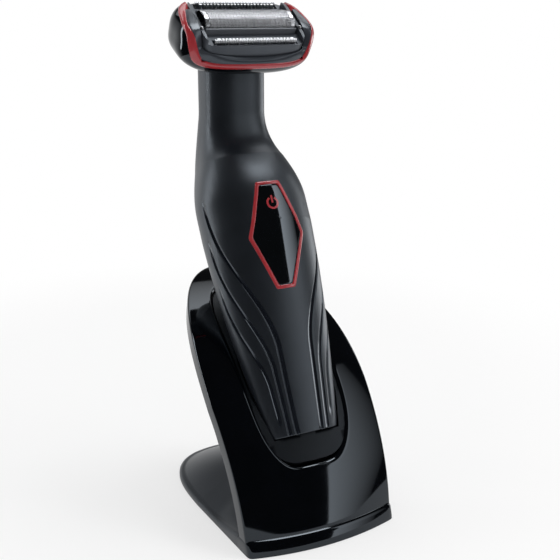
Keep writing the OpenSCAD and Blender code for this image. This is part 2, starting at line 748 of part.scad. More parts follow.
module end_cap() {
    a = end_w / 2 - shell_wall - 0.9;
    b = end_d / 2 - shell_wall - 0.75;
    color([0.1, 0.1, 0.1])
    at_grip() difference() {
        union() {
            translate([0, 0.2, 0]) rotate([-90, 0, 0]) linear_extrude(2.4)
                polygon(oval(a, b, section_n, 40));
            translate([-6, 2.2, -3.4]) cube([12, 7.2, 6.8]);
        }
        translate([-4.7, -1, -2.4]) cube([9.4, 6.4, 4.8]);
        for (x = [-2.2, 2.2]) translate([x, 0, 0]) rotate([-90, 0, 0]) cylinder(h = 12, d = 1.5);
    }
}
module charge_pins() {
    color([0.85, 0.75, 0.45])
    at_grip() for (x = [-2.2, 2.2]) translate([x, 1.2, 0]) rotate([-90, 0, 0])
        cylinder(h = 10, d = 1.5 - 2 * seat_gap);
}

// motor stands upright in the neck
motor_top = neck_top - 4.4;
module motor_can() {
    color([0.72, 0.72, 0.74])
    translate([0, neck_y, motor_top - motor_len]) difference() {
        union() {
            cylinder(h = motor_len, d = motor_d);
            translate([0, 0, motor_len]) cylinder(h = 1.2, d = 6);
        }
        translate([0, 0, motor_len - 8]) cylinder(h = 12, d = shaft_d + 2 * running_gap);
        for (x = [-5, 5]) translate([x, 0, motor_len - 3]) cylinder(h = 5, d = 1.6);
    }
}
module motor_mount() {
    a = neck_w / 2 - shell_wall - 0.5;
    b = neck_d / 2 - shell_wall - 0.5;
    color([0.3, 0.3, 0.32])
    translate([0, neck_y, motor_top + 0.05]) difference() {
        linear_extrude(2.2) polygon(oval(a, b, neck_n, 40));
        translate([0, 0, -1]) cylinder(h = 5, d = 6.2);
        for (x = [-5, 5]) translate([x, 0, -1]) cylinder(h = 5, d = 1.9);
        for (x = [-5, 5]) translate([x, 0, 1.2]) cylinder(h = 5, d = 3.3);
    }
}
module motor_screws() {
    color([0.6, 0.6, 0.62])
    for (x = [-5, 5]) translate([x, neck_y, motor_top - 2.6]) {
        cylinder(h = 4.2, d = 1.5);
        translate([0, 0, 3.9]) cylinder(h = 0.9, d = 3);
    }
}
pin_top = neck_top + 15;
module motor_shaft() {
    color([0.7, 0.7, 0.72])
    translate([0, neck_y, 0]) {
        translate([0, 0, motor_top - 7.5]) cylinder(h = neck_top + 4.6 - motor_top + 7.5, d = shaft_d);
        translate([0, 0, neck_top + 3.6]) cylinder(h = 2, d = 6.4);
        translate([stroke, 0, neck_top + 5.4]) cylinder(h = pin_top - neck_top - 5.4, d = 1.8);
    }
}

// head

function block_ring(u, g, m) =
    let (k = pow(max(0, 1 - pow(abs(u), 3.1)), 1 / 3.1), x = (head_a - g) * u)
    [for (i = [0:m - 1]) let (t = 360 * i / m)
        [x, (head_b - g) * k * power(cos(t), 2 / 3.4), (head_c - g) * k * power(sin(t), 2 / 3.4)]];
block_stops = [-0.995, -0.96, -0.88, -0.76, -0.6, -0.36, 0, 0.36, 0.6, 0.76, 0.88, 0.96, 0.995];
module head_block(g) {
    at_head() skin([for (u = block_stops) block_ring(u, g, 28)]);
}
// the ring's path across the side of the block, top side and under side
ring_up = [[-24, -4.5], [-13, -4], [-12.1, -0.4], [-11.3, 4], [-10, 6.6], [-7, 8], [0, 9.4], [24, 12.6]];
ring_down = [[24, 10], [0, 6.8], [-6.2, 5.5], [-8, 4.7], [-8.8, 3.1], [-9.9, -0.8], [-11.3, -5.8],
             [-24, -7.3]];
// side blocks of the bezel beside the cassette
cheek_half = 23.2;
lip_n = -5.4;
module cheek_box(g) {
    translate([-cheek_half - g, -12.4 - g, -6.2 - g]) cube([2 * (cheek_half + g), 24.9 + 2 * g, 30]);
}
module across_head(p) {
    at_head() rotate([90, 0, 90]) translate([0, 0, -40]) linear_extrude(80) polygon(p);
}
module neck_prism(z0, z1, g) {
    translate([0, neck_y, z0]) linear_extrude(z1 - z0)
        polygon(oval(neck_w / 2 + g, neck_d / 2 + g, neck_n, 40));
}
collar_top = 187;
module head_bowl() {
    color([0.03, 0.03, 0.035])
    difference() {
        head_block(0);
        head_block(head_wall);
        across_head(concat(ring_down, [[-24, 30], [24, 30]]));
        neck_prism(150, collar_top + 3, seat_gap);
        at_face() guide_hole(0);
        at_face() translate([-23, 12, -6]) cube([46, 30, 30]);
        at_face() cheek_box(seat_gap);
        at_face() cassette_room();
    }
}
module head_ring() {
    color([0.75, 0.05, 0.07])
    difference() {
        intersection() {
            head_block(-0.2);
            across_head(concat(ring_up, ring_down));
        }
        head_block(1.4);
        neck_prism(150, collar_top + 3, seat_gap);
        at_face() translate([-23, 12, -6]) cube([46, 30, 30]);
        at_face() cheek_box(seat_gap);
        at_face() cassette_room();
    }
}
module head_bezel() {
    color([0.14, 0.14, 0.15])
    difference() {
        intersection() {
            head_block(0);
            union() {
                across_head(concat(ring_up, [[24, 30], [-24, 30]]));
                at_face() cheek_box(0);
            }
        }
        at_face() translate([-channel_half, -30, lip_n]) cube([2 * channel_half, 60, 40]);
        at_face() translate([-40, -40, 1.6]) cube([80, 80, 40]);
        at_face() cassette_room();
        neck_prism(150, collar_top + 3, seat_gap);
    }
}
// spine behind the head that closes the neck
module neck_collar() {
    color([0.12, 0.12, 0.13])
    difference() {
        neck_prism(neck_top + 0.05, collar_top, 0);
        head_block(head_wall + seat_gap);
        translate([0, neck_y + neck_d / 2 + 0.8, neck_top + 2]) rotate([24, 0, 0])
            translate([-30, 0, -4]) cube([60, 30, 60]);
        at_face() translate([-30, -30, -3]) cube([60, 60, 40]);
        translate([0, neck_y, neck_top - 1]) cylinder(h = 30, d = 12);
    }
}

guide_y = -4;
guide_n = -13.2;
module guide_hole(g) {
    translate([-rod_len / 2, guide_y, guide_n]) rotate([0, 90, 0])
        cylinder(h = rod_len, d = rod_d + 2 * g);
}
module guide_rod() {
    color([0.7, 0.7, 0.72])
    at_face() guide_hole(0);
}
plate_low = -13;
plate_high = -11.2;
module drive_bridge() {
    color([0.75, 0.75, 0.72])
    difference() {
        at_face() difference() {
            union() {
                translate([-9, -10.6, plate_low]) cube([18, 22, plate_high - plate_low]);
                translate([-5, guide_y - 2.1, guide_n - 1.7])
                    cube([10, 4.2, plate_high - guide_n + 1.7]);
                translate([-1.2, -1.2, plate_low]) cube([2.4, 2.4, 7.4]);
                translate([-1.2, -trimmer_off + 0.1, plate_low]) cube([2.4, 0.8, 8]);
                translate([6.2, trimmer_off - 0.9, plate_low]) cube([2.4, 0.8, 8]);
            }
            guide_hole(running_gap);
        }
        translate([0, neck_y, 150]) cylinder(h = 60, d = 2 * (2 * stroke + 0.9 + slide_gap + 0.3));
    }
}

// shaving cassette, in the face's own frame
module cassette_outline(g) {
    polygon(oval(frame_half + g, frame_deep + g, 8, 48));
}
module cassette_room() {
    translate([0, 0, frame_low - 0.4]) linear_extrude(40) cassette_outline(0.4);
}
module cheek_profile() {
    intersection() {
        translate([0, frame_high - 1]) scale([frame_deep - 0.8, cheek_top - frame_high + 1])
            polygon(oval(1, 1, 5, 48));
        translate([-20, frame_high - 1]) square([40, 20]);
    }
}
module cassette_frame() {
    color([0.2, 0.2, 0.21])
    at_face() difference() {
        union() {
            translate([0, 0, frame_low]) linear_extrude(frame_high - frame_low) cassette_outline(0);
            intersection() {
                for (x = [19.5, -frame_half]) translate([x, 0, 0]) rotate([90, 0, 90])
                    linear_extrude(frame_half - 19.5) cheek_profile();
                translate([0, 0, -10]) linear_extrude(20) cassette_outline(0);
            }
        }
        translate([-19.2 - slide_gap, -5.9 - slide_gap, floor_n])
            cube([2 * (19.2 + slide_gap), 2 * (5.9 + slide_gap), 30]);
        translate([-5, -4.4, frame_low - 1]) cube([10, 8.8, 6]);
        trimmer_slot(-trimmer_off - 1, -trimmer_off + 1.2);
        trimmer_slot(trimmer_off - 1.2, trimmer_off + 1);
        translate([-4, -trimmer_off - 0.4, frame_low - 1]) cube([8, 1.6, 6]);
        translate([3.4, trimmer_off - 1.2, frame_low - 1]) cube([8, 1.6, 6]);
    }
}
module trimmer_slot(y0, y1) {
    translate([-trimmer_len / 2 - slide_gap, y0 - slide_gap, floor_n])
        cube([trimmer_len + 2 * slide_gap, y1 - y0 + 2 * slide_gap, 30]);
}
arch_n = 3 - foil_r;
foot_n = -4.6;
module foil_frame() {
    color([0.16, 0.16, 0.17])
    at_face() difference() {
        union() {
            translate([-19.2, -5.9, floor_n + foil_float + 0.2]) cube([38.4, 11.8, 3.6]);
            translate([-foil_len / 2, -5.9, floor_n + foil_float + 0.2]) cube([foil_len, 11.8, 6.6]);
        }
        translate([-17.6, -4.9, -9]) cube([35.2, 9.8, 20]);
        translate([-foil_len / 2 - seat_gap, -foil_r - seat_gap, foot_n - seat_gap])
            cube([foil_len + 2 * seat_gap, 2 * (foil_r + seat_gap), 20]);
    }
}
module foil() {
    color([0.75, 0.76, 0.78])
    at_face() translate([-foil_len / 2, 0, arch_n]) rotate([90, 0, 90]) linear_extrude(foil_len)
        difference() {
        union() {
            circle(foil_r, $fn = 96);
            translate([-foil_r, foot_n - arch_n]) square([2 * foil_r, arch_n - foot_n]);
        }
        circle(foil_r - foil_t, $fn = 96);
        translate([-foil_r + foil_t, -10]) square([2 * (foil_r - foil_t), 10]);
        translate([-10, -20 + foot_n - arch_n]) square([20, 20]);
    }
}
cutter_r = foil_r - foil_t - 0.15;
module inner_cutter() {
    color([0.6, 0.6, 0.62])
    at_face() difference() {
        union() {
            difference() {
                translate([-15, 0, arch_n]) rotate([0, 90, 0]) cylinder(h = 30, r = cutter_r);
                translate([-20, -10, arch_n - 20]) cube([40, 20, 20 - 1.2]);
            }
            translate([-3, -2.6, arch_n - 4.4]) cube([6, 5.2, 4]);
        }
        translate([-1.35, -1.8, arch_n - 10]) cube([2.7, 3.6, 8.6]);
        for (i = [-9:9]) translate([i * 1.5 - 0.4, -10, arch_n + 0.6]) cube([0.8, 20, 10]);
    }
}

// long hair trimmers: fixed comb outside, moving blade inside; side is -1 at the front and 1 at the rear
teeth = floor(trimmer_len / 2 / tooth_pitch) - 1;
trimmer_n = floor_n + trimmer_float + 0.2;
module comb(side) {
    at_face() difference() {
        translate([-trimmer_len / 2, side * (trimmer_off + 0.45) - 0.45, trimmer_n])
            cube([trimmer_len, 0.9, -trimmer_n]);
        for (i = [-teeth:teeth])
            translate([i * tooth_pitch - 0.35, side * (trimmer_off + 0.45) - 2, -2.2]) cube([0.7, 4, 5]);
    }
}
module blade(side, x) {
    at_face() difference() {
        translate([-trimmer_len / 2 + stroke + 0.4, side * (trimmer_off - 0.5) - 0.4, trimmer_n])
            cube([trimmer_len - 2 * stroke - 0.8, 0.8, -trimmer_n - 0.2]);
        for (i = [-teeth + 1:teeth - 1])
            translate([i * tooth_pitch - 0.3, side * (trimmer_off - 0.5) - 2, -2]) cube([0.6, 4, 5]);
        translate([x - 1.35, side * (trimmer_off - 0.5) - 2, trimmer_n - 1]) cube([2.7, 4, 3.2]);
    }
}
module front_comb() {
    color([0.7, 0.71, 0.73]) comb(-1);
}
module front_blade() {
    color([0.66, 0.67, 0.69]) blade(-1, 0);
}
module rear_comb() {
    color([0.7, 0.71, 0.73]) comb(1);
}
module rear_blade() {
    color([0.66, 0.67, 0.69]) blade(1, 7.4);
}

shield();
back_cover();
cradle();
foot();
base_plate();
foot_pads();
ballast();
dc_socket();
charge_plug();
stand_screws();
handle_shell();
end_cap();
charge_pins();
panel_trim();
power_key();
power_mark();
tact_switch();
circuit_board();
battery_cell();
battery_tabs();
chassis();
motor_can();
motor_mount();
motor_screws();
motor_shaft();
neck_collar();
head_bowl();
head_ring();
head_bezel();
guide_rod();
drive_bridge();
cassette_frame();
foil_frame();
foil();
inner_cutter();
front_comb();
front_blade();
rear_comb();
rear_blade();
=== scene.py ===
import math

import bmesh
import bpy
import numpy as np
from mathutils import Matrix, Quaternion, Vector


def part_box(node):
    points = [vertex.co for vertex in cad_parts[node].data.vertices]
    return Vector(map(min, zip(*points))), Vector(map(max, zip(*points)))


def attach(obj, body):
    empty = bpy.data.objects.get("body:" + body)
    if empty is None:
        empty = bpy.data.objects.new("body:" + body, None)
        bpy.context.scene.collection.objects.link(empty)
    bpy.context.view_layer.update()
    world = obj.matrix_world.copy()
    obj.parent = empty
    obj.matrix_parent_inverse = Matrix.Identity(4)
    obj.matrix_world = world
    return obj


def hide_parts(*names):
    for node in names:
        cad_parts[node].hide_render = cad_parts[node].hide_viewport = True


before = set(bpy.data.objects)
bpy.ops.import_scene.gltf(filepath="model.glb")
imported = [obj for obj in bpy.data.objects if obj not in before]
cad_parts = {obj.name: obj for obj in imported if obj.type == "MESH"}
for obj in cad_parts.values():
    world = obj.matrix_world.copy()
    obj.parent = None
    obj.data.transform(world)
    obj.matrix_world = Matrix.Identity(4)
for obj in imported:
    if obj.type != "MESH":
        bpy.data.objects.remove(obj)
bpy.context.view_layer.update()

# Foot of the stand
# A domed tongue of satin black ABS, oval at the rear, moulded in one shot and closed by a base plate.
# The shield's toe butts against its front, and a notch at the rear lets a charger plug reach the inlet.

# sizes are in millimetres, those ending in _M in metres; a stretch for ease() is a start and a length
MM = 0.001
MERGE_MM = 0.0005
POLE_SHARE = 0.02
foot_low, foot_high = (np.array(corner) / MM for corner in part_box("foot"))
shield_low, shield_high = (np.array(corner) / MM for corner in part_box("shield"))
FOOT_HALF = foot_high[0]
FOOT_BACK = foot_high[1]
FLOOR_GAP = foot_low[2]
FOOT_ROUNDING = 1.4
FOOT_CROWN = 13.0
CROWN_POWER = 2.2
CROWN_RISE = (6.0, 25.0)
REAR_ROUND = 3
REAR_EDGE = 2.6
EDGE_FALL = (4.0, 30.0)
TOE_HALF = 31.1
TOE_Y = shield_low[1]
TOE_H = 6.0
TOE_BOW = 4.8
TOE_DEPTH = 12.8
TOE_FLARE = 1.0
TOE_LEDGE = 0.5
TOE_SLOPE = 1.5
SLOPE_LEN = 20.0
TOE_SQUARE = 60
TOE_SEAM = 0.05
PLATE_SHARE = 0.86
PLATE_TOP = 2.0
INLET_FACE = 24.0
NOTCH_HALF = 6.5
NOTCH_LOW = 2.2
# boxes by two corners, and first the corners of one past the whole foot
PAST_LOW = (-60, -90, -5)
PAST_HIGH = (60, 90, 30)
NOTCH = ((-NOTCH_HALF, INLET_FACE, NOTCH_LOW), (NOTCH_HALF, PAST_HIGH[1], PAST_HIGH[2]))
SOCKET_ROOM = ((-5.05, 12.5, 1.6), (5.05, 24.6, 9.2))
TOE_PART = (PAST_LOW, (PAST_HIGH[0], TOE_Y + TOE_DEPTH + TOE_SEAM, PAST_HIGH[2]))
FLOW_MM = 14.0
FLOW_TONES = (0.35, 0.65)
PLASTIC_DRIFT = (0.88, 1.12)
PLASTIC_IOR = 1.53
COAT_ROUGHNESS = 0.04
# highlights on the mouldings are a little cool
COOL_SHEEN = "#e5f2ff"


def ease(value, start, length):
    """Smooth step over a stretch: 3 t^2 - 2 t^3 with t from 0 to 1 along it, flat outside."""
    t = np.clip((value - start) / length, 0, 1)
    return t * t * (3 - 2 * t)


def signed_power(value, exponent):
    """The value's size raised to the exponent, with the value's own sign."""
    return np.sign(value) * np.abs(value) ** exponent


def unit_plan(turn, exponent):
    """Superellipse by direction: each turn's unit vector times (|cos|^e + |sin|^e)^(-1/e)."""
    c, s = np.cos(turn), np.sin(turn)
    reach = (np.abs(c) ** exponent + np.abs(s) ** exponent) ** (-1 / exponent)
    return c * reach, s * reach


def tube(points, joined=False):
    """The skin over a grid of points whose rows are closed loops: quads between neighbouring rows. The last
    row is joined to the first, or each of the two is closed by one face."""
    rows, cols = points.shape[:2]
    i, j = np.meshgrid(np.arange(rows if joined else rows - 1), np.arange(cols), indexing="ij")
    below, right = (i + 1) % rows, (j + 1) % cols
    corners = [i * cols + j, i * cols + right, below * cols + right, below * cols + j]
    faces = np.stack(corners, axis=-1).reshape(-1, 4).tolist()
    if not joined:
        faces += [list(range(cols)), list(range((rows - 1) * cols, rows * cols))]
    return points.reshape(-1, 3), faces


def linear(hex_colour):
    """An sRGB hex colour as linear red, green, blue and full alpha."""
    srgb = np.array([int(hex_colour[i:i + 2], 16) for i in (1, 3, 5)]) / 255
    low, high = srgb / 12.92, ((srgb + 0.055) / 1.055) ** 2.4
    return (*np.where(srgb <= 0.04045, low, high), 1.0)


def add(tree, kind, values=None, links=None, **settings):
    """Adds a shader node, sets its properties and input values, and links inputs from (node, output)."""
    made = tree.nodes.new("ShaderNode" + kind)
    for key, value in settings.items():
        setattr(made, key, value)
    for key, value in (values or {}).items():
        made.inputs[key].default_value = value
    for key, (source, output) in (links or {}).items():
        tree.links.new(source.outputs[output], made.inputs[key])
    return made


def new_material(name):
    """A node material with nothing in it yet, and its tree."""
    material = bpy.data.materials.new(name)
    material.use_nodes = True
    material.node_tree.nodes.clear()
    return material, material.node_tree


def remap(tree, source, span, result, **settings):
    """Adds a node that carries a span of an output's values over to another span, held at both ends."""
    ends = zip(("From Min", "From Max", "To Min", "To Max"), (*span, *result))
    return add(tree, "MapRange", dict(ends), {"Value": source}, **settings)


def worked_surface(tree, pattern, roughness, drift, depth_mm, values, links=None, strength=1.0):
    """A Principled shader whose gloss and relief follow one pattern: the roughness drifts between two shares
    of itself, and the bump has a depth. Its other inputs are values and links."""
    gloss = remap(tree, (pattern, "Fac"), (0, 1), (roughness * drift[0], roughness * drift[1]))
    bump = add(tree, "Bump", {"Strength": strength, "Distance": depth_mm * MM}, {"Height": (pattern, "Fac")})
    shader = add(tree, "BsdfPrincipled", values,
                 {"Roughness": (gloss, "Result"), "Normal": (bump, "Normal"), **(links or {})})
    add(tree, "OutputMaterial", {}, {"Surface": (shader, "BSDF")})


def moulded_plastic(name, dark, light, roughness, grain_mm, grain_depth_mm, specular=0.5, coat=0.0):
    """Injection-moulded plastic: two close tones wander along the melt's flow, and the tool's eroded grain
    shows in bump and gloss. Real grain is some 0.05 mm and is drawn coarser so that it shows."""
    material, tree = new_material(name)
    coords = add(tree, "TexCoord")
    flow = add(tree, "TexNoise", {"Scale": 1 / (FLOW_MM * MM), "Detail": 3.0},
               {"Vector": (coords, "Object")})
    tone = add(tree, "ValToRGB", links={"Fac": (flow, "Fac")})
    for stop, position, colour in zip(tone.color_ramp.elements, FLOW_TONES, (dark, light)):
        stop.position = position
        stop.color = linear(colour)
    grain = add(tree, "TexNoise", {"Scale": 1 / (grain_mm * MM), "Detail": 2.0},
                {"Vector": (coords, "Object")})
    worked_surface(tree, grain, roughness, PLASTIC_DRIFT, grain_depth_mm,
                   {"IOR": PLASTIC_IOR, "Specular Tint": linear(COOL_SHEEN), "Specular IOR Level": specular,
                    "Coat Weight": coat, "Coat Roughness": COAT_ROUGHNESS}, {"Base Color": (tone, "Color")})
    return material


# every finish by its name; a plastic has two tones, a roughness, then its grain's size and depth
finish = {}
# satin ABS from a lightly eroded tool: a soft sheen, no mirror image
finish["foot_satin"] = moulded_plastic("satin_abs", "#14161a", "#191b20", 0.34, 0.35, 0.004)


def unmoved(x, y, z):
    """Points from their three coordinates as they are."""
    return np.stack([x, y, z], axis=-1)


def add_object(name, data):
    """A new object at the origin, linked to the scene."""
    made = bpy.data.objects.new(name, data)
    bpy.context.scene.collection.objects.link(made)
    return made


def weld(source, target, outwards):
    """Puts a mesh into another with its doubles merged and, where asked, its faces turned outwards."""
    solid = bmesh.new()
    solid.from_mesh(source)
    bmesh.ops.remove_doubles(solid, verts=solid.verts, dist=MERGE_MM * MM)
    if outwards:
        bmesh.ops.recalc_face_normals(solid, faces=solid.faces)
    solid.to_mesh(target)
    solid.free()


def cut_boxes(made, boxes, place):
    """Takes boxes, given by two corners in millimetres and set in place, out of a piece."""
    corner = np.array(np.meshgrid([0, 1], [0, 1], [0, 1], indexing="ij")).reshape(3, -1).T
    sides = [[0, 1, 3, 2], [4, 6, 7, 5], [0, 4, 5, 1], [2, 3, 7, 6], [0, 2, 6, 4], [1, 5, 7, 3]]
    for low, high in boxes:
        mesh = bpy.data.meshes.new("cutter")
        mesh.from_pydata((place(*(low + corner * np.subtract(high, low)).T) * MM).tolist(), [], sides)
        cut = made.modifiers.new("cut", "BOOLEAN")
        cut.object = add_object("cutter", mesh)
        cut.operation = "DIFFERENCE"
        cut.solver = "EXACT"
        graph = bpy.context.evaluated_depsgraph_get()
        result = bpy.data.meshes.new_from_object(made.evaluated_get(graph))
        bpy.data.objects.remove(cut.object)
        made.modifiers.clear()
        made.data = result


def finish_piece(made, body, slot, nodes, sharp_deg):
    """Smooth shading up to an angle, the finish, the body it rides on and the CAD nodes it stands for."""
    made.data.shade_smooth()
    made.data.set_sharp_from_angle(angle=math.radians(sharp_deg))
    made.data.materials.clear()
    made.data.materials.append(finish[slot])
    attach(made, body)
    if nodes:
        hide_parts(*nodes)


def make_piece(name, skin, body, slot, *nodes, sharp_deg=38, marks=None, cuts=(), place=unmoved):
    """A closed mesh from a skin of points in millimetres and faces: doubles merged, faces turned outwards,
    boxes cut out, then finished. Marks give each point a value that its finish can read."""
    points, faces = skin
    mesh = bpy.data.meshes.new(name)
    mesh.from_pydata((points * MM).tolist(), [], faces)
    if marks is not None:
        mesh.attributes.new("mark", "FLOAT", "POINT").data.foreach_set("value", marks)
    weld(mesh, mesh, outwards=True)
    made = add_object(name, mesh)
    cut_boxes(made, cuts, place)
    finish_piece(made, body, slot, nodes, sharp_deg)
    return made


def foot_surface(cols=420):
    """Plan outline, narrower at the toe, times a shrinking share k. The edge height falls from toe to rear,
    the crown rises as 1 - k^2.2 behind the toe, and the rows at the edge turn over a small radius."""
    turn = np.linspace(0, 2 * np.pi, cols, endpoint=False)
    front = np.sin(turn) < 0
    px, py = unit_plan(turn, np.where(front, TOE_SQUARE, REAR_ROUND))
    x = px * (FOOT_HALF + (TOE_HALF - FOOT_HALF) * np.clip(-py, 0, 1))
    y = py * np.where(front, TOE_LEDGE + TOE_FLARE - TOE_Y - TOE_BOW * px ** 2, FOOT_BACK)
    edge = REAR_EDGE + (TOE_H - REAR_EDGE) * (1 - ease(y - TOE_Y, *EDGE_FALL))
    slope = TOE_SLOPE * (1 - ease(y - TOE_Y, 0, SLOPE_LEN))
    bend = np.linspace(0, np.pi / 2, 7)[:, None]
    over = FOOT_ROUNDING * (1 - np.cos(bend)) / FOOT_HALF
    up = np.linspace(0, 1, 4)[:-1, None]
    wall = FLOOR_GAP + (edge - FOOT_ROUNDING - FLOOR_GAP) * up
    inward = np.linspace(1 - over[-1, 0], POLE_SHARE, 60)[1:, None]
    crown = (FOOT_CROWN - edge) * (1 - (inward / inward[0]) ** CROWN_POWER)
    crown = crown * ease(y * inward - TOE_Y, *CROWN_RISE)
    k = np.concatenate([[[PLATE_SHARE], [PLATE_SHARE]], np.ones_like(up), 1 - over, inward])
    z = np.concatenate([np.full((1, cols), PLATE_TOP), np.full((1, cols), FLOOR_GAP), wall,
                        edge - FOOT_ROUNDING * (1 - np.sin(bend)), edge + crown])
    lean = ease(z, FLOOR_GAP, TOE_H - FLOOR_GAP)
    return tube(np.stack([x * k, (y + slope * lean) * k, z], axis=-1))


make_piece("foot_tongue", foot_surface(), "stand", "foot_satin", "foot", cuts=[NOTCH, SOCKET_ROOM, TOE_PART])

# Shield
# A leaning sheet of high-gloss black ABS, curved like part of a large barrel and bowed across, which kicks
# out into a toe that reaches the table. Its edge turns back 5.4 mm, and a window holds the liner.

SHIELD_R = 99.9
SHIELD_SINK = 17.5
SHIELD_BOW = 3.4
SHIELD_LEN = 123.3
SHIELD_STRAIGHT = 50.0
SHIELD_CROWN = 2.3
SHIELD_HALF = shield_high[0]
SHIELD_EDGE = 5.4
SHIELD_SKIN = 2.2
EDGE_ROUNDING = 0.9
LIP_ROUNDING = 1.7
FLARE_LEN = 24.0
TOE_INSET = 2.3
TOE_BURIED = 1.2
WINDOW_HALF = 19.1
WINDOW_LOW = 22.0
WINDOW_HIGH = 106.0
WINDOW_ROUND = 3.6
WINDOW_LOW_ROUND = 5.0
WINDOW_TAPER = 0.28
TAPER_POWER = 4
ARC_Z = -SHIELD_SINK
ARC_Y = TOE_Y + TOE_INSET + math.sqrt((SHIELD_R + SHIELD_BOW) ** 2 - (TOE_H + SHIELD_SINK) ** 2)
FACE_LOW = math.asin((TOE_H + SHIELD_SINK) / SHIELD_R)
FACE_MID = FACE_LOW + SHIELD_LEN / 2 / SHIELD_R
BEHIND_TOE = ((PAST_LOW[0], TOE_Y + TOE_DEPTH, PAST_LOW[2]), PAST_HIGH)
# high-gloss ABS from a polished tool: black, with clear soft reflections
finish["gloss_black"] = moulded_plastic("gloss_abs", "#010204", "#030407", 0.06, 4.0, 0.0008)


def face_point(x, s, depth):
    """A point at side x and length s up the face: radius R + bow (1 - (x / half)^2) - depth, at angle s / R,
    pushed over the last stretch to the toe by (1 - s / stretch)^2 so that its end follows the toe's bow."""
    radius = SHIELD_R + SHIELD_BOW * (1 - (x / SHIELD_HALF) ** 2) - depth
    angle = FACE_LOW + s / SHIELD_R
    push = TOE_FLARE - (TOE_BOW - SHIELD_BOW * (TOE_HALF / SHIELD_HALF) ** 2) * (x / TOE_HALF) ** 2
    y = ARC_Y - radius * np.cos(angle) - push * np.clip(1 - s / FLARE_LEN, 0, 1) ** 2
    return np.stack([x + 0 * angle, y, ARC_Z + radius * np.sin(angle)], axis=-1)


def chord(s):
    """Height of length s on the flat chord of the arc."""
    return SHIELD_R * np.sin(FACE_LOW + s / SHIELD_R - FACE_MID)


def length_at(height):
    """Length up the face whose height on the chord is given."""
    return SHIELD_R * (np.arcsin(height / SHIELD_R) + FACE_MID - FACE_LOW)


def side_half(s):
    """Half width at length s of the straight sides, which spread evenly with the height on the chord."""
    rise = (chord(s) - chord(0)) / (chord(SHIELD_STRAIGHT) - chord(0))
    return TOE_HALF + (SHIELD_HALF - TOE_HALF) * rise


def shield_outline(per_side=60, per_top=150):
    """Lower edge buried in the toe, two straight sides that spread upwards and a squarish half oval over the
    top, as side x and length s."""
    across = np.linspace(-1, 1, per_side, endpoint=False)
    radius = SHIELD_R + SHIELD_BOW * (1 - (across * TOE_HALF / SHIELD_HALF) ** 2)
    toe_s = SHIELD_R * (np.arcsin((TOE_H - TOE_BURIED + SHIELD_SINK) / radius) - FACE_LOW)
    up = np.linspace(toe_s[0], SHIELD_STRAIGHT, per_side, endpoint=False)
    down = np.linspace(SHIELD_STRAIGHT, toe_s[0], per_side, endpoint=False)
    turn = np.linspace(0, np.pi, per_top, endpoint=False)
    shoulder = chord(SHIELD_STRAIGHT)
    top = shoulder + (chord(SHIELD_LEN) - shoulder) * np.sin(turn) ** (2 / SHIELD_CROWN)
    top_x = SHIELD_HALF * signed_power(np.cos(turn), 2 / SHIELD_CROWN)
    x = np.r_[TOE_HALF * across, side_half(up), top_x, -side_half(down)]
    return x, np.r_[toe_s, up, length_at(top), down]


def shield_surface():
    """A profile carried round the window: from its lip over the face to the outer edge, round that edge,
    and back along the rear. Offsets run along the line from each window point to its outline point. The
    window is a superellipse, squarer below and drawn in there by a power of the way down."""
    out_x, out_s = shield_outline()
    low, high = chord(WINDOW_LOW), chord(WINDOW_HIGH)
    middle, half = (low + high) / 2, (high - low) / 2
    turn = np.arctan2((chord(out_s) - middle) / half, out_x / WINDOW_HALF)
    px, py = unit_plan(turn, np.where(np.sin(turn) < 0, WINDOW_LOW_ROUND, WINDOW_ROUND))
    in_x = WINDOW_HALF * px * (1 - WINDOW_TAPER * np.clip(-py, 0, 1) ** TAPER_POWER)
    in_s = length_at(middle + half * py)
    span = np.hypot(out_x - in_x, out_s - in_s)
    bend = np.linspace(0, np.pi / 2, 7)[:, None]
    rise, fall = 1 - np.cos(bend), 1 - np.sin(bend)
    share = np.linspace(0, 1, 26)[1:-1, None]
    face = LIP_ROUNDING + (span - LIP_ROUNDING - EDGE_ROUNDING) * share
    offset = np.concatenate([[0 * span], LIP_ROUNDING * rise + 0 * span, face, span - EDGE_ROUNDING * fall,
                             [span, span - SHIELD_SKIN, span - SHIELD_SKIN]])
    depth = np.concatenate([[[SHIELD_SKIN]], LIP_ROUNDING * fall, 0 * share, EDGE_ROUNDING * rise,
                            [[SHIELD_EDGE], [SHIELD_EDGE], [SHIELD_SKIN]]])
    along = offset / span
    return tube(face_point(in_x + (out_x - in_x) * along, in_s + (out_s - in_s) * along, depth), joined=True)


make_piece("gloss_shield", shield_surface(), "stand", "gloss_black", "shield", sharp_deg=50)
make_piece("gloss_toe", foot_surface(), "stand", "gloss_black", cuts=[BEHIND_TOE])

# Back cover
# A half-oval fairing of satin black ABS that closes the shield from behind, deep at the bottom and
# fading towards the top. It is pushed into the shield's turned-back edge and seats in the foot.

COVER_BULGE = 14.0
COVER_FADE = (34.0, 62.0)
COVER_LIP = 1.6
COVER_WALL = 1.6
COVER_INSET = 1.1
COVER_GAP = 0.2
COVER_SQUARE = 0.8
COVER_LOW = 3.0
COVER_TOP = SHIELD_LEN - 12.0
# plain ABS from an eroded tool: near black and dull
finish["black_plastic"] = moulded_plastic("black_abs", "#111216", "#17181c", 0.42, 0.4, 0.006)


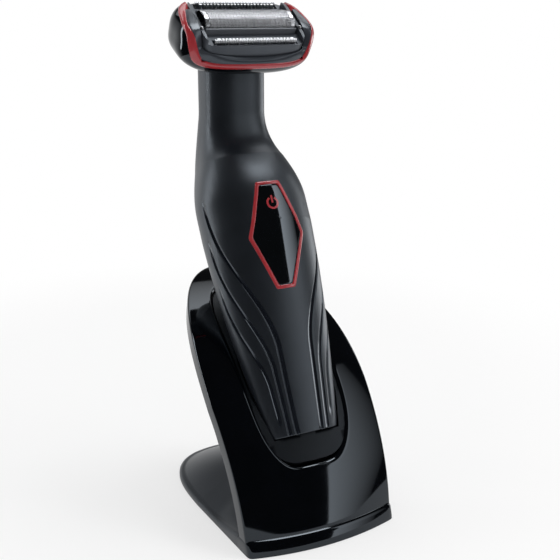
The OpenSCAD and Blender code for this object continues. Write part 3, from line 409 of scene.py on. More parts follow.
def cover_row(s, turn, inset):
    """Half oval behind the shield at length s: its half width follows the shield's top, and its depth eases
    off upwards."""
    t = np.clip((s - SHIELD_STRAIGHT) / (SHIELD_LEN - SHIELD_STRAIGHT), 0, 1)
    side = TOE_HALF + (SHIELD_HALF - TOE_HALF) * np.clip(s / SHIELD_STRAIGHT, 0, 1)
    half = (side - COVER_INSET) * (1 - t ** SHIELD_CROWN) ** (1 / SHIELD_CROWN) - inset
    deep = np.maximum(0, COVER_BULGE * (1 - ease(s, *COVER_FADE)) + COVER_LIP - inset)
    x = half * signed_power(np.cos(turn), COVER_SQUARE)
    return face_point(x, s, SHIELD_EDGE + COVER_GAP + deep * signed_power(np.sin(turn), COVER_SQUARE))


def cover_surface(rows=72, cols=72):
    """Outer half ovals and the same ovals set in by the wall, joined along both edges. Quads across the wall
    close each end in place of one face."""
    s = np.linspace(COVER_LOW, COVER_TOP, rows)[:, None]
    turn = np.linspace(0, np.pi, cols)[None]
    rings = np.concatenate([cover_row(s, turn, 0), cover_row(s, turn, COVER_WALL)[:, ::-1]], axis=1)
    points, faces = tube(rings)
    j = np.arange(cols - 1)
    end = np.stack([j, j + 1, 2 * cols - 2 - j, 2 * cols - 1 - j], axis=-1)
    ends = np.concatenate([end, end + (rows - 1) * 2 * cols]).tolist()
    return points, faces[:-2] + ends


make_piece("rear_fairing", cover_surface(), "stand", "black_plastic", "back_cover")

# Liner of the window
# A matte dark grey moulding of ABS behind the shield's window, hollowed to the handle's own form. It is the
# CAD solid itself, with its facets welded and shaded as one surface.

COPY_SHARP_DEG = 32
# matte ABS from a coarsely eroded tool: dark grey, painted darker still all over as painted shade, so that
# the window reads as a hollow
finish["cradle_grey"] = moulded_plastic("matte_abs_painted_shade", "#0c0e11", "#121418", 0.42, 0.45, 0.012, specular=0.3)


def welded_copy(name, node, body, slot):
    """The CAD node's own mesh with its loose triangles merged and shaded smooth up to an angle."""
    mesh = bpy.data.meshes.new(name)
    weld(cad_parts[node].data, mesh, outwards=False)
    finish_piece(add_object(name, mesh), body, slot, [node], COPY_SHARP_DEG)


# the liner carries painted shade: its colour is darkened all over to stand for the shade of the window's
# hollow
welded_copy("window_liner", "cradle", "stand", "cradle_grey")

# Handle shell
# One charcoal moulding of ABS under soft-touch lacquer: a flat lower end, a full belly, a shoulder and an
# upright neck. Three grip lines on each side sweep from the flank to the front and run down to the end.

END_Y = -27.5
END_Z = 36.0
LEAN = math.radians(29)
GRIP_LEN = 108.5
BEND_R = 32.0
NECK_LEN = 22.0
NECK_STEP = 4.7
END_HALF = (14.5, 6.1)
BELLY_HALF = (22.0, 18.7)
NECK_HALF = (12.5, 10.4)
BELLY_AT = 80.0
DEPTH_SWELL = 0.22
SHOULDER = (90.0, 40.0)
SECTION_ROUND = 2.2
NECK_ROUND = 3.0
SHELL_WALL = 2.0
CAP_ROOM = 9.0
CAP_LIP = 0.3
END_ROUNDING = 0.4
END_PINCH = 0.3
PINCH_LEN = 5.0
GROOVE_DEPTH = (0.56, 0.46, 0.36)
GROOVE_HALF = 1.1
GROOVE_GLOSS = 0.1
GROOVE_KEEL = 0.5
GLOSS_FROM = 0.1
LINE_LOW = (18.5, 30.5, 43.0)
LINE_TURN = (60.0, 53.0, 42.0)
LINE_FROM = (32.0, 24.0, 18.0)
LINE_TO = (89.0, 74.0, 56.0)
LINE_END = (-4.0, -4.0, 3.0)
FADE_LOW = 6.0
FADE_HIGH = (-4.0, 10.0)
PANEL_LOW = 53.8
PANEL_MID = 74.0
PANEL_HIGH = 94.8
PANEL_HALF = (3.9, 11.6, 4.9)
PANEL_DRAW = (0.8, 1.1, 0.8)
PANEL_SINK = 2.2
TRIM_W = 1.3
SEAT_GAP = 0.5
BEND_LEN = BEND_R * LEAN
SHELL_LEN = GRIP_LEN + BEND_LEN + NECK_LEN
BEND_Y = END_Y + GRIP_LEN * math.sin(LEAN)
# soft-touch lacquer over ABS: charcoal, a broad dim sheen, a fine velvet grain, bare gloss in the lines
finish["soft_grip"] = moulded_plastic("soft_touch_lacquer", "#11141a", "#171a21", 0.4, 0.3, 0.005,
                                      specular=0.9)
grip_tree = finish["soft_grip"].node_tree
grip_shader = grip_tree.nodes["Principled BSDF"]
in_line = add(grip_tree, "Attribute", attribute_name="mark")
grip_gloss = add(grip_tree, "Mix", {"B": GROOVE_GLOSS}, {"Factor": (in_line, "Fac")})
grip_tree.links.new(grip_shader.inputs["Roughness"].links[0].from_socket, grip_gloss.inputs["A"])
grip_tree.links.new(grip_gloss.outputs["Result"], grip_shader.inputs["Roughness"])


def narrowing(s):
    """How far the shoulder has closed in on the neck, 0 to 1."""
    return ease(s, *SHOULDER)


def half_width(s):
    """Half width: a quarter sine from the end to the belly, drawn in over the last stretch to the end and
    eased over to the neck along the shoulder."""
    grip = END_HALF[0] + (BELLY_HALF[0] - END_HALF[0]) * np.sin(np.pi / 2 * np.clip(s / BELLY_AT, 0, 1))
    grip = grip - END_PINCH * np.clip(1 - s / PINCH_LEN, 0, 1) ** 2
    return grip + (NECK_HALF[0] - grip) * narrowing(s)


def half_depth(s):
    """Half depth: t (0.78 + 0.22 t) from the end to the belly, eased over to the neck along the shoulder."""
    t = np.clip(s / BELLY_AT, 0, 1)
    grip = END_HALF[1] + (BELLY_HALF[1] - END_HALF[1]) * t * (1 - DEPTH_SWELL + DEPTH_SWELL * t)
    return grip + (NECK_HALF[1] - grip) * narrowing(s)


def section_round(s):
    """Superellipse exponent: oval in the grip, squarer in the neck, where a soft corner shows."""
    return SECTION_ROUND + (NECK_ROUND - SECTION_ROUND) * narrowing(s)


def skin_point(s, turn, out):
    """A point at length s and turn from the front: a superellipse across a middle line that runs straight,
    bends upright and steps back to the neck."""
    lean = np.where(s < GRIP_LEN, LEAN, np.maximum(0, LEAN - (s - GRIP_LEN) / BEND_R))
    step = NECK_STEP * narrowing(s)
    along = np.minimum(s, GRIP_LEN)
    mid_y = END_Y + along * math.sin(LEAN) + BEND_R * (np.cos(lean) - math.cos(LEAN))
    mid_z = END_Z + along * math.cos(LEAN) + BEND_R * (math.sin(LEAN) - np.sin(lean))
    mid_z = mid_z + np.maximum(0, s - GRIP_LEN - BEND_LEN)
    across = (half_width(s) + out) * signed_power(np.sin(turn), 2 / section_round(s))
    ahead = (half_depth(s) + out) * signed_power(np.cos(turn), 2 / section_round(s)) - step
    return np.stack([across, mid_y - ahead * np.cos(lean), mid_z + ahead * np.sin(lean)], axis=-1)


def line_turns(s):
    """Turn of each grip line at length s, in degrees, kept three half widths apart past a line's own end."""
    gap = 3 * np.degrees(GROOVE_HALF / half_width(s))
    lines = []
    for low, turn, start, stop in zip(LINE_LOW, LINE_TURN, LINE_FROM, LINE_TO):
        line = low + turn * ease(s, start, stop - start)
        lines.append(np.maximum(line, lines[-1] + gap) if lines else line)
    return lines


def panel_corners(inset):
    """Lengths and half widths of the panel's low, middle and high corners, drawn in by an inset."""
    return (PANEL_LOW + inset, PANEL_MID, PANEL_HIGH - inset), PANEL_HALF - inset * np.array(PANEL_DRAW)


def handle_surface():
    """Rows of superellipse sections along the middle line. Columns follow the grip lines, so each groove
    has its own band of columns. It falls on a slant to a keel and rises steeply on the side of the flank.
    The panel's seat is sunk too, and the end opens into the room for its cap."""
    bend = np.linspace(0, np.pi / 2, 9)
    main_s = np.linspace(END_ROUNDING, SHELL_LEN, 330)[1:]
    s = np.r_[CAP_ROOM, CAP_LIP, END_ROUNDING * (1 - np.cos(bend)), main_s][:, None]
    out = np.r_[-SHELL_WALL, -SHELL_WALL, END_ROUNDING * (np.sin(bend) - 1), 0 * main_s][:, None]
    half = np.degrees(GROOVE_HALF / half_width(s))
    knots = [0 * s]
    for line in line_turns(s):
        knots += [line - half, line + half]
    knots.append(180 + 0 * s)
    # columns before, in and between the three grooves, then on to the back
    counts = [30, 12, 7, 12, 7, 12, 40]
    columns = [a + (b - a) * np.arange(n) / n for a, b, n in zip(knots, knots[1:], counts)]
    side = np.concatenate(columns + [knots[-1]], axis=1)
    sink = np.zeros_like(side)
    first = counts[0]
    for k, depth in enumerate(GROOVE_DEPTH):
        u = np.linspace(-1, 1, counts[2 * k + 1] + 1)
        fade = ease(s, LINE_END[k], FADE_LOW) * (1 - ease(s - LINE_TO[k], *FADE_HIGH))
        slant = np.minimum((u + 1) / (1 + GROOVE_KEEL), (1 - u) / (1 - GROOVE_KEEL))
        sink[:, first:first + len(u)] = depth * fade * slant
        first += counts[2 * k + 1] + counts[2 * k + 2]
    turn = np.radians(np.concatenate([side, -side[:, -2:0:-1]], axis=1))
    sink = np.concatenate([sink, sink[:, -2:0:-1]], axis=1)
    x = half_width(s) * signed_power(np.sin(turn), 2 / section_round(s))
    seat_half = np.interp(s, *panel_corners(TRIM_W + SEAT_GAP), left=0, right=0)
    seat = (np.abs(x) < seat_half) & (np.cos(turn) > 0)
    points = skin_point(s + 0 * turn, turn, out - sink - PANEL_SINK * seat)
    return tube(points), np.clip(sink / GLOSS_FROM, 0, 1).ravel()


grip_skin, grip_marks = handle_surface()
make_piece("charcoal_handle", grip_skin, "handle", "soft_grip", "handle_shell",
           sharp_deg=60, marks=grip_marks)

# Button panel
# A six-sided gloss black key in a muted red painted frame, both of ABS and following the swell of the grip.
# The frame is glued into the shell. The key presses in by 0.6 mm and carries a printed power sign.

KEY_GAP = 0.2
KEY_RISE = 0.1
KEY_DEEP = 1.6
KEY_EDGE_SHARE = (1.0, 1.0, 0.995, 0.985)
KEY_EDGE_DROP = (KEY_RISE + KEY_DEEP, 0.15, 0.04, 0.0)
KEY_FLAT = 0.96
TRIM_RISE = 0.3
TRIM_SHOULDER = 0.35
TRIM_DOME = 0.6
TRIM_DEEP = 2.0
CORNER_MM = 1.6
SIGN_AT = 86.0
SIGN_SIZE = 5.0
SIGN_LINE = 0.8
SIGN_GAP = math.radians(28)
BAR_OVER = 0.4
PRINT_RISE = 0.05
PRINT_SUNK = 0.1
# red lacquer under a clear coat: an even muted red with a thin bright line along its edges
finish["red_trim"] = moulded_plastic("red_lacquer", "#a3262b", "#b23036", 0.26, 0.6, 0.002, coat=0.6)
# ABS from a mirror-polished tool: black with a sharp image of what is around it
finish["panel_black"] = moulded_plastic("gloss_key", "#010203", "#030406", 0.05, 5.0, 0.0006, specular=0.9)


def on_grip(x, s, rise):
    """A point above the grip's front at side x and length s."""
    n = SECTION_ROUND
    ahead = half_depth(s) * np.maximum(0, 1 - (np.abs(x) / half_width(s)) ** n) ** (1 / n) + rise
    y = END_Y + s * math.sin(LEAN) - ahead * math.cos(LEAN)
    z = END_Z + s * math.cos(LEAN) + ahead * math.sin(LEAN)
    return np.stack([x, y, z], axis=-1)


def panel_loop(inset, count=360):
    """The panel's outline: points evenly along six straight sides, averaged over a short stretch so that
    the corners turn round."""
    (s_low, s_mid, s_high), (low, mid, high) = panel_corners(inset)
    x = np.array([0, low, mid, high, 0, -high, -mid, -low, 0])
    s = np.array([s_low, s_low, s_mid, s_high, s_high, s_high, s_mid, s_low, s_low])
    run = np.r_[0, np.cumsum(np.hypot(np.diff(x), np.diff(s)))]
    at = np.linspace(0, run[-1], count, endpoint=False)
    loop = np.stack([np.interp(at, run, x), np.interp(at, run, s)])
    reach = max(1, int(CORNER_MM / 2 / (run[-1] / count)))
    rolls = [np.roll(loop, k, axis=1) for k in range(-reach, reach + 1)]
    return np.mean(rolls, axis=0)


def trim_surface():
    """A rounded bar carried round the panel: outer wall, top domed as a power of a half sine, inner wall."""
    share = np.linspace(0, 1, 9)
    inset = TRIM_W * np.r_[0, share, 1]
    dome = TRIM_SHOULDER + (1 - TRIM_SHOULDER) * np.sin(np.pi * share) ** TRIM_DOME
    rise = np.r_[-TRIM_DEEP, TRIM_RISE * dome, -TRIM_DEEP]
    return tube(np.stack([on_grip(*panel_loop(i), r) for i, r in zip(inset, rise)]), joined=True)


def key_surface(rows=40):
    """The panel's inner outline shrunk towards its middle, with a turned-over edge and a straight skirt."""
    x, s = panel_loop(TRIM_W + KEY_GAP)
    share = np.r_[KEY_EDGE_SHARE, np.linspace(KEY_FLAT, POLE_SHARE, rows)]
    rise = KEY_RISE - np.r_[KEY_EDGE_DROP, np.zeros(rows)]
    return tube(np.stack([on_grip(x * k, PANEL_MID + (s - PANEL_MID) * k, r) for k, r in zip(share, rise)]))


def printed_line(x, s):
    """A flat bead along a path on the key: four edges carried along it, half a line to each side."""
    dx, ds = np.gradient(x), np.gradient(s)
    run = np.hypot(dx, ds)
    side_x, side_s = -ds / run * SIGN_LINE / 2, dx / run * SIGN_LINE / 2
    edges = [(1, -PRINT_SUNK), (1, PRINT_RISE), (-1, PRINT_RISE), (-1, -PRINT_SUNK)]
    return tube(np.stack([on_grip(x + k * side_x, s + k * side_s, KEY_RISE + r) for k, r in edges], axis=1))


def together(skins):
    """Several skins as one: their points in a row, and each one's faces counted on from its first point."""
    firsts = np.cumsum([0] + [len(points) for points, _ in skins]).tolist()
    faces = [[first + i for i in face] for first, skin in zip(firsts, skins) for face in skin[1]]
    return np.concatenate([points for points, _ in skins]), faces


def power_sign():
    """An open ring and an upright bar through its gap."""
    radius = (SIGN_SIZE - SIGN_LINE) / 2
    turn = np.linspace(SIGN_GAP, 2 * np.pi - SIGN_GAP, 60)
    height = np.linspace(0, SIGN_SIZE / 2 + BAR_OVER, 12)
    ring = printed_line(radius * np.sin(turn), SIGN_AT + radius * np.cos(turn))
    return together([ring, printed_line(0 * height, SIGN_AT + height)])


make_piece("red_frame", trim_surface(), "handle", "red_trim", "panel_trim", sharp_deg=60)
make_piece("gloss_key", key_surface(), "key", "panel_black", "power_key", sharp_deg=50)
make_piece("power_sign", power_sign(), "key", "red_trim", "power_mark")

# Head block
# A rounded gloss black bowl under a muted red ring and a grey bezel rim. The three mouldings of ABS share
# one form and are welded together; the bowl is fixed to the neck by the collar behind it.

HEAD_HALF = (27.9, 15.2, 11.6)
HEAD_TILT = math.radians(25.7)
HEAD_ROUND = 3.1
HEAD_SIDE_ROUND = 3.4
NECK_Y = BEND_Y + BEND_R * (1 - math.cos(LEAN)) + NECK_STEP
HEAD_AT = (NECK_Y - 10.3, 180.7)
FACE_TILT = math.radians(36)
FACE_AT = (NECK_Y - 14.7, 186.1)
# paths of the ring's upper and lower edge on the block's side: depth, then height
RING_UP = ((-24, -13, -12.1, -11.3, -10, -7, 0, 24), (-4.5, -4, -0.4, 3.6, 5.9, 7, 8.4, 11.6))
RING_DOWN = ((-24, -11.3, -9.9, -8.8, -8, -6.2, 0, 24), (-7.5, -6, -0.8, 3.1, 4.7, 5.5, 6.8, 10))
RING_CORNER = 2.0
RING_PROUD = 0.35
RING_SUNK = 1.4
PATH_STEP = 0.1
REAR_ROOM = ((-23, 12, -6), (23, 42, 24))
WELL = ((-21.15, -13.3, -8.4), (21.15, 13.3, 40))
BOWL_POLE = 0.03
BOWL_CROWDING = 0.8
BOWL_SHELF = 1.2
ROOM_HALF = (21.2, 13.4)
ROOM_ROUND = 8
ROOM_FLOOR = -8.6
LIP_OUT = (-6.4, 2.2)
RIM_SUNK = 0.1
RIM_RISE = 0.35
RIM_TOP = 3.3
SILL_DEPTH = 0.4
SILL_RISE = 0.6
UNDER_SHARE = 0.97
HEAD_COLS = 288
COLUMN_SPREAD = 0.75
# satin ABS: dark grey with a tight bright line along the rim
finish["bezel_grey"] = moulded_plastic("satin_bezel", "#36393f", "#3f4248", 0.22, 0.4, 0.002)


def face_place(x, up, out, tilt=FACE_TILT, at=FACE_AT):
    """Coordinates across, up and out of a tilted face, the shaving face as a rule, set at its middle."""
    c, s = math.cos(tilt), math.sin(tilt)
    return np.stack([x + 0 * up + 0 * out, at[0] + up * c - out * s, at[1] + up * s + out * c], axis=-1)


def to_face(points):
    """The way back: coordinates across, up and out of the shaving face."""
    y, z = points[..., 1] - FACE_AT[0], points[..., 2] - FACE_AT[1]
    c, s = math.cos(FACE_TILT), math.sin(FACE_TILT)
    return points[..., 0], y * c + z * s, z * c - y * s


def head_block(around, height, out=0.0):
    """Superellipsoid by direction: across, depth and height of the unit vector scaled so that
    |x|^3.1 + (|y|^3.4 + |z|^3.4)^(3.1/3.4) = 1, times the half sizes plus an offset."""
    x, y, z = np.cos(height) * np.cos(around), np.cos(height) * np.sin(around), np.sin(height)
    side = (np.abs(y) ** HEAD_SIDE_ROUND + np.abs(z) ** HEAD_SIDE_ROUND) ** (HEAD_ROUND / HEAD_SIDE_ROUND)
    scale = (np.abs(x) ** HEAD_ROUND + side) ** (-1 / HEAD_ROUND)
    return [(half + out) * part * scale for half, part in zip(HEAD_HALF, (x, y, z))]


def on_head(around, height, out=0.0):
    """A point of the block, turned by the head's tilt and set at its middle."""
    return face_place(*head_block(around, height, out), HEAD_TILT, HEAD_AT)


def soft_path(path):
    """A path of straight lines, its corners rounded: even steps, averaged over the corner's length."""
    y, z = np.array(path, dtype=float)
    run = np.r_[0, np.cumsum(np.hypot(np.diff(y), np.diff(z)))]
    at = np.arange(0, run[-1], PATH_STEP)
    reach = int(RING_CORNER / PATH_STEP)
    lines = [np.pad(np.interp(at, run, values), reach, mode="edge") for values in (y, z)]
    return [np.convolve(line, np.full(2 * reach + 1, 1 / (2 * reach + 1)), mode="valid") for line in lines]


def crossing(around, path):
    """Height angle at which each meridian of the block crosses a path drawn on the block's side."""
    height = np.linspace(-np.pi / 2, np.pi / 2, 1441)[:, None]
    _, y, z = head_block(around[None], height)
    above = z - np.interp(y, *path)
    first = np.argmax(above > 0, axis=0)
    cols = np.arange(len(around))
    a, b = above[first - 1, cols], above[first, cols]
    return height[first - 1, 0] + (height[1, 0] - height[0, 0]) * a / (a - b)


head_turn = np.linspace(0, 2 * np.pi, HEAD_COLS, endpoint=False)
head_around = np.arctan2(signed_power(np.sin(head_turn), COLUMN_SPREAD),
                         signed_power(np.cos(head_turn), COLUMN_SPREAD))
ring_low = crossing(head_around, soft_path(RING_DOWN))
ring_high = crossing(head_around, soft_path(RING_UP))


def bowl_surface():
    """Meridians from the block's lowest point up to the ring, then a shelf turned in under the ring."""
    share = np.linspace(BOWL_POLE, 1, 90)[:, None] ** BOWL_CROWDING
    height = -np.pi / 2 + (ring_low + np.pi / 2) * share
    shelf = on_head(head_around, ring_low, -BOWL_SHELF)
    return tube(np.concatenate([on_head(head_around, height), [shelf]]))


def ring_surface():
    """The band of the block between the two paths: proud by the root of a half sine, edges turned in."""
    share = np.linspace(0, 1, 17)
    proud = RING_PROUD * np.sin(np.pi * share) ** 0.5
    band = [on_head(head_around, ring_low + (ring_high - ring_low) * k, p) for k, p in zip(share, proud)]
    low, high = (on_head(head_around, edge, -RING_SUNK) for edge in (ring_low, ring_high))
    return tube(np.stack([low, *band, high]), joined=True)


def bezel_surface():
    """From the ring's upper edge a quarter oval rises and turns in to the cassette's well, then a wall goes
    down. Behind the well, where the rear trimmer stands, it stays a low sill."""
    x, up, out = to_face(on_head(head_around, ring_high, -RIM_SUNK))
    px, py = unit_plan(np.arctan2(up / ROOM_HALF[1], x / ROOM_HALF[0]), ROOM_ROUND)
    in_x, in_up = ROOM_HALF[0] * px, ROOM_HALF[1] * py
    sill = (np.abs(x) < REAR_ROOM[1][0]) & (up > 0)
    up = np.where(sill, np.maximum(up, in_up + SILL_DEPTH), up)
    out = np.minimum(np.where(sill, ROOM_FLOOR + SILL_RISE / 2, out), RIM_TOP)
    top = np.maximum(LIP_OUT[0] + LIP_OUT[1] * (x / ROOM_HALF[0]) ** 2, out + RIM_RISE)
    top = np.where(sill, ROOM_FLOOR + SILL_RISE, top)
    bend = np.linspace(0, np.pi / 2, 13)[:, None]
    k, h = 1 - np.cos(bend), np.sin(bend)
    floor_out = np.full_like(out, ROOM_FLOOR)
    rim = face_place(x + (in_x - x) * k, up + (in_up - up) * k, out + (top - out) * h)
    well = face_place(in_x, in_up, floor_out)[None]
    under = face_place(x * UNDER_SHARE, up * UNDER_SHARE, floor_out)[None]
    return tube(np.concatenate([rim, well, under]), joined=True)


make_piece("head_bowl_gloss", bowl_surface(), "handle", "gloss_black", "head_bowl", sharp_deg=50,
           cuts=[REAR_ROOM, WELL], place=face_place)
make_piece("head_ring_red", ring_surface(), "handle", "red_trim", "head_ring", sharp_deg=60,
           cuts=[REAR_ROOM, WELL], place=face_place)
make_piece("head_bezel_rim", bezel_surface(), "handle", "bezel_grey", "head_bezel", sharp_deg=50)
welded_copy("neck_spine", "neck_collar", "handle", "soft_grip")

# Shaving foil
# A springy sheet of nickel, 60 micrometres thick, arched over the cutter and etched with rows of holes. Its
# plain edges are clipped into the foil frame. Holes and thickness are drawn coarse enough to show.

FOIL_R = 5.3
FOIL_HALF = 18.6
FOIL_CROWN = 3.0
FOIL_FOOT = -4.6
FOIL_SHEET = 0.08
FOIL_ROUND = 2.5
HOLE_PITCH = 0.65
HOLE_SHARE = 0.33
ETCHED_HALF = 17.1
ETCHED_TURN = math.radians(74)
MARGIN_SINK = 0.02
MARGIN_OVER = 0.1
BRUSH_RUN_MM = 16.667
BRUSH_DEPTH_MM = 0.003
BRUSH_STRENGTH = 0.5
METAL_DRIFT = (0.75, 1.3)


def ground_metal(name, colour, roughness, brush_mm):
    """Bright ground metal: fine grinding lines across, drawn coarser than real so that they show."""
    material, tree = new_material(name)
    coords = add(tree, "TexCoord")
    run = 1 / (BRUSH_RUN_MM * MM)
    turned = add(tree, "Mapping", {"Scale": (1 / (brush_mm * MM), run, run)}, {"Vector": (coords, "Object")})
    lines = add(tree, "TexNoise", {"Scale": 1.0, "Detail": 3.0}, {"Vector": (turned, "Vector")})
    worked_surface(tree, lines, roughness, METAL_DRIFT, BRUSH_DEPTH_MM,
                   {"Base Color": linear(colour), "Metallic": 1.0}, strength=BRUSH_STRENGTH)
    return material


# etched nickel: pale grey with a soft, slightly streaked gloss
finish["foil_steel"] = ground_metal("nickel_foil", "#bdbfc4", 0.24, 0.5)
# ground steel: bright, with soft streaks
finish["steel"] = ground_metal("ground_steel", "#c3c5c9", 0.28, 0.4)


def arch(x, run, radius):
    """Foil section: straight up from the foot, a squarish half round over the crown and straight down, by
    length along it."""
    base = FOIL_CROWN - FOIL_R
    leg = base - FOIL_FOOT
    turn = np.clip((run - leg) / FOIL_R, 0, np.pi)
    up = -radius * signed_power(np.cos(turn), 2 / FOIL_ROUND)
    out = base + radius * np.sin(turn) ** (2 / FOIL_ROUND)
    out = out - np.maximum(0, leg - run) - np.maximum(0, run - leg - np.pi * FOIL_R)
    return face_place(x, up, out)


def etched_sheet():
    """Cells of one hole each, eight corners outside and eight round the hole, every other row set half a
    cell along, and plain margins at the ends and the legs."""
    leg = FOIL_CROWN - FOIL_R - FOIL_FOOT
    middle = leg + FOIL_R * np.pi / 2
    cells_x = int(2 * ETCHED_HALF / HOLE_PITCH)
    pitch_x = 2 * ETCHED_HALF / cells_x
    cells_v = 2 * int(FOIL_R * ETCHED_TURN / HOLE_PITCH)
    pitch_v = 2 * FOIL_R * ETCHED_TURN / cells_v
    k = np.arange(8)
    round_hole = np.stack([np.cos(k * np.pi / 4), np.sin(k * np.pi / 4)])
    cell = np.concatenate([np.round(round_hole) / 2, round_hole * HOLE_SHARE], axis=1)
    i, j = np.meshgrid(np.arange(cells_x - 1), np.arange(cells_v), indexing="ij")
    at_x = (i + 0.75 + 0.5 * (j % 2)).reshape(-1, 1) * pitch_x - ETCHED_HALF + cell[0] * pitch_x
    at_v = (j + 0.5).reshape(-1, 1) * pitch_v - FOIL_R * ETCHED_TURN + middle + cell[1] * pitch_v
    parts = [arch(at_x.ravel(), at_v.ravel(), FOIL_R)]
    one = np.stack([k, (k + 1) % 8, (k + 1) % 8 + 8, k + 8], axis=-1)
    faces = (one[None] + 16 * np.arange(i.size)[:, None, None]).reshape(-1, 4).tolist()
    run_all = np.linspace(0, 2 * leg + np.pi * FOIL_R, 64)
    run_low = np.linspace(0, leg + FOIL_R * (np.pi / 2 - ETCHED_TURN) + MARGIN_OVER, 12)
    leg_x = np.linspace(-ETCHED_HALF, ETCHED_HALF, 40)
    margins = [(np.linspace(-FOIL_HALF, -ETCHED_HALF + pitch_x, 6), run_all),
               (np.linspace(ETCHED_HALF - pitch_x, FOIL_HALF, 6), run_all),
               (leg_x, run_low), (leg_x, run_all[-1] - run_low)]
    for x, run in margins:
        first = sum(len(part) for part in parts)
        grid_x, grid_run = np.meshgrid(x, run, indexing="ij")
        parts.append(arch(grid_x.ravel(), grid_run.ravel(), FOIL_R - MARGIN_SINK))
        a, b = np.meshgrid(np.arange(len(x) - 1), np.arange(len(run) - 1), indexing="ij")
        corner = first + a * len(run) + b
        quads = np.stack([corner, corner + len(run), corner + len(run) + 1, corner + 1], axis=-1)
        faces += quads.reshape(-1, 4).tolist()
    return np.concatenate(parts), faces


foil = make_piece("etched_foil", etched_sheet(), "foil_unit", "foil_steel", "foil", sharp_deg=60)
foil_wall = foil.modifiers.new("sheet", "SOLIDIFY")
foil_wall.thickness = FOIL_SHEET * MM
foil_wall.offset = -1

# Cassette and trimmers
# The cassette is a dark grey moulding of ABS with raised cheeks. Comb trimmers of ground steel stand before
# and behind the foil, each with a moving blade. A small polished stud on each cheek is the release catch.

STUD_SIZE = 1.7
STUD_AT = (20.2, -5.2, 0.55)
STUD_POLE = 0.98
COMB_HALF = 17.0
COMB_OUT = (-6.4, -2.2, 0.0)
COMB_UP = (10.9, 11.8)
# the teeth are drawn coarser than real so that they show
COMB_PITCH = 0.7
COMB_SHARE = 0.55
TOOTH_STEP = 0.02
BEVEL_MM = 0.12
BLADE_BEVEL_MM = 0.06
BEVEL_FROM = math.radians(40)
# moulded ABS with a half gloss: the foil frame is painted paler than the cassette round it, painted light on
# its shaded front wall
finish["frame_grey"] = moulded_plastic("foil_frame_painted_light", "#62656b", "#6b6e74", 0.3, 0.4, 0.004)
finish["cassette_grey"] = moulded_plastic("cassette_abs", "#3a3d43", "#43464c", 0.32, 0.4, 0.004)


def stud_surface(rows=10, cols=24):
    """Half a ball on each cheek: rows of circles from the rim to the top."""
    rise = np.linspace(0, np.pi / 2 * STUD_POLE, rows)[:, None]
    turn = np.linspace(0, 2 * np.pi, cols, endpoint=False)[None]
    x = STUD_SIZE / 2 * np.cos(rise) * np.cos(turn)
    up = STUD_SIZE / 2 * np.cos(rise) * np.sin(turn) + STUD_AT[1]
    out = STUD_SIZE / 2 * np.sin(rise) + 0 * turn + STUD_AT[2]
    return together([tube(face_place(x + side * STUD_AT[0], up, out)) for side in (-1, 1)])


def comb_surface(side):
    """A four-cornered section carried along x. Its top steps up to each tooth and down to each gap."""
    count = int(2 * COMB_HALF / COMB_PITCH)
    tooth = COMB_SHARE * COMB_PITCH
    low, gap, tip = COMB_OUT
    start = (np.arange(count)[:, None] + 0.5 - COMB_SHARE / 2) * COMB_PITCH - COMB_HALF
    steps = (start + np.array([0, TOOTH_STEP, tooth - TOOTH_STEP, tooth])).ravel()
    x = np.r_[-COMB_HALF, steps, COMB_HALF]
    top = np.r_[gap, np.tile([gap, tip, tip, gap], count), gap]
    near, far = COMB_UP
    section = [(near, low), (near, top), (far, top), (far, low)]
    return tube(np.stack([face_place(x, side * up, out + 0 * x) for up, out in section], axis=1))


make_piece("cheek_studs", stud_surface(), "cassette", "steel")
make_piece("front_teeth", comb_surface(-1), "front_trimmer", "steel", "front_comb", sharp_deg=30)
make_piece("rear_teeth", comb_surface(1), "rear_trimmer", "steel", "rear_comb", sharp_deg=30)


def dress(node, slot, material=None, bevel=BEVEL_MM):
    """A CAD node that is right as it is: triangles welded live, edges broken by a bevel, and a finish."""
    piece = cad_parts[node]
    piece.data.materials.clear()
    piece.data.materials.append(material or finish[slot])
    merged = piece.modifiers.new("weld", "WELD")
    merged.merge_threshold = MERGE_MM * MM
    if bevel:
        edge = piece.modifiers.new("edge", "BEVEL")
        edge.width = bevel * MM
        edge.segments = 2
        edge.limit_method = "ANGLE"
        edge.angle_limit = BEVEL_FROM


dress("cassette_frame", "bezel_grey", finish["cassette_grey"])
# the foil frame takes the paler grey: painted light on its shaded front wall
dress("foil_frame", "bezel_grey", finish["frame_grey"])
for blade in ("front_blade", "rear_blade"):
    dress(blade, "steel", bevel=BLADE_BEVEL_MM)
dress("inner_cutter", "steel", bevel=0)

# Works inside handle, head and foot
# Motor, cell, board, chassis and drive, hidden in the closed handle and held on the chassis by clips and
# screws, and the stand's ballast and screws: plain steel, black plastic, a green board, a sleeved cell.

# solder mask on a glass fibre board: even dark green with a half gloss
finish["board_green"] = moulded_plastic("solder_mask", "#0f3d22", "#134a2a", 0.35, 0.5, 0.003)
# shrink sleeve of a cell: blue film with a half gloss
finish["cell_wrap"] = moulded_plastic("cell_sleeve", "#3b648e", "#436c98", 0.4, 0.8, 0.002)
# turned brass: warm yellow, bright
finish["contact_brass"] = ground_metal("contact_brass", "#c9a85c", 0.25, 0.4)
for inner in ("motor_can", "motor_screws", "motor_shaft", "guide_rod", "ballast", "stand_screws"):
    dress(inner, "steel", bevel=0)
for inner in ("chassis", "motor_mount", "drive_bridge", "tact_switch"):
    dress(inner, "black_plastic", bevel=0)
dress("circuit_board", "board_green", bevel=0)
dress("battery_cell", "cell_wrap", bevel=0)
dress("battery_tabs", "contact_brass", bevel=0)

# Underside and charging contacts
# A base plate of black ABS on four rubber pads, held by four screws, the inlet at the rear, the charging
# plug in the seat, and the closing cap with two brass pins in the handle's end.

PIN_BEVEL_MM = 0.1
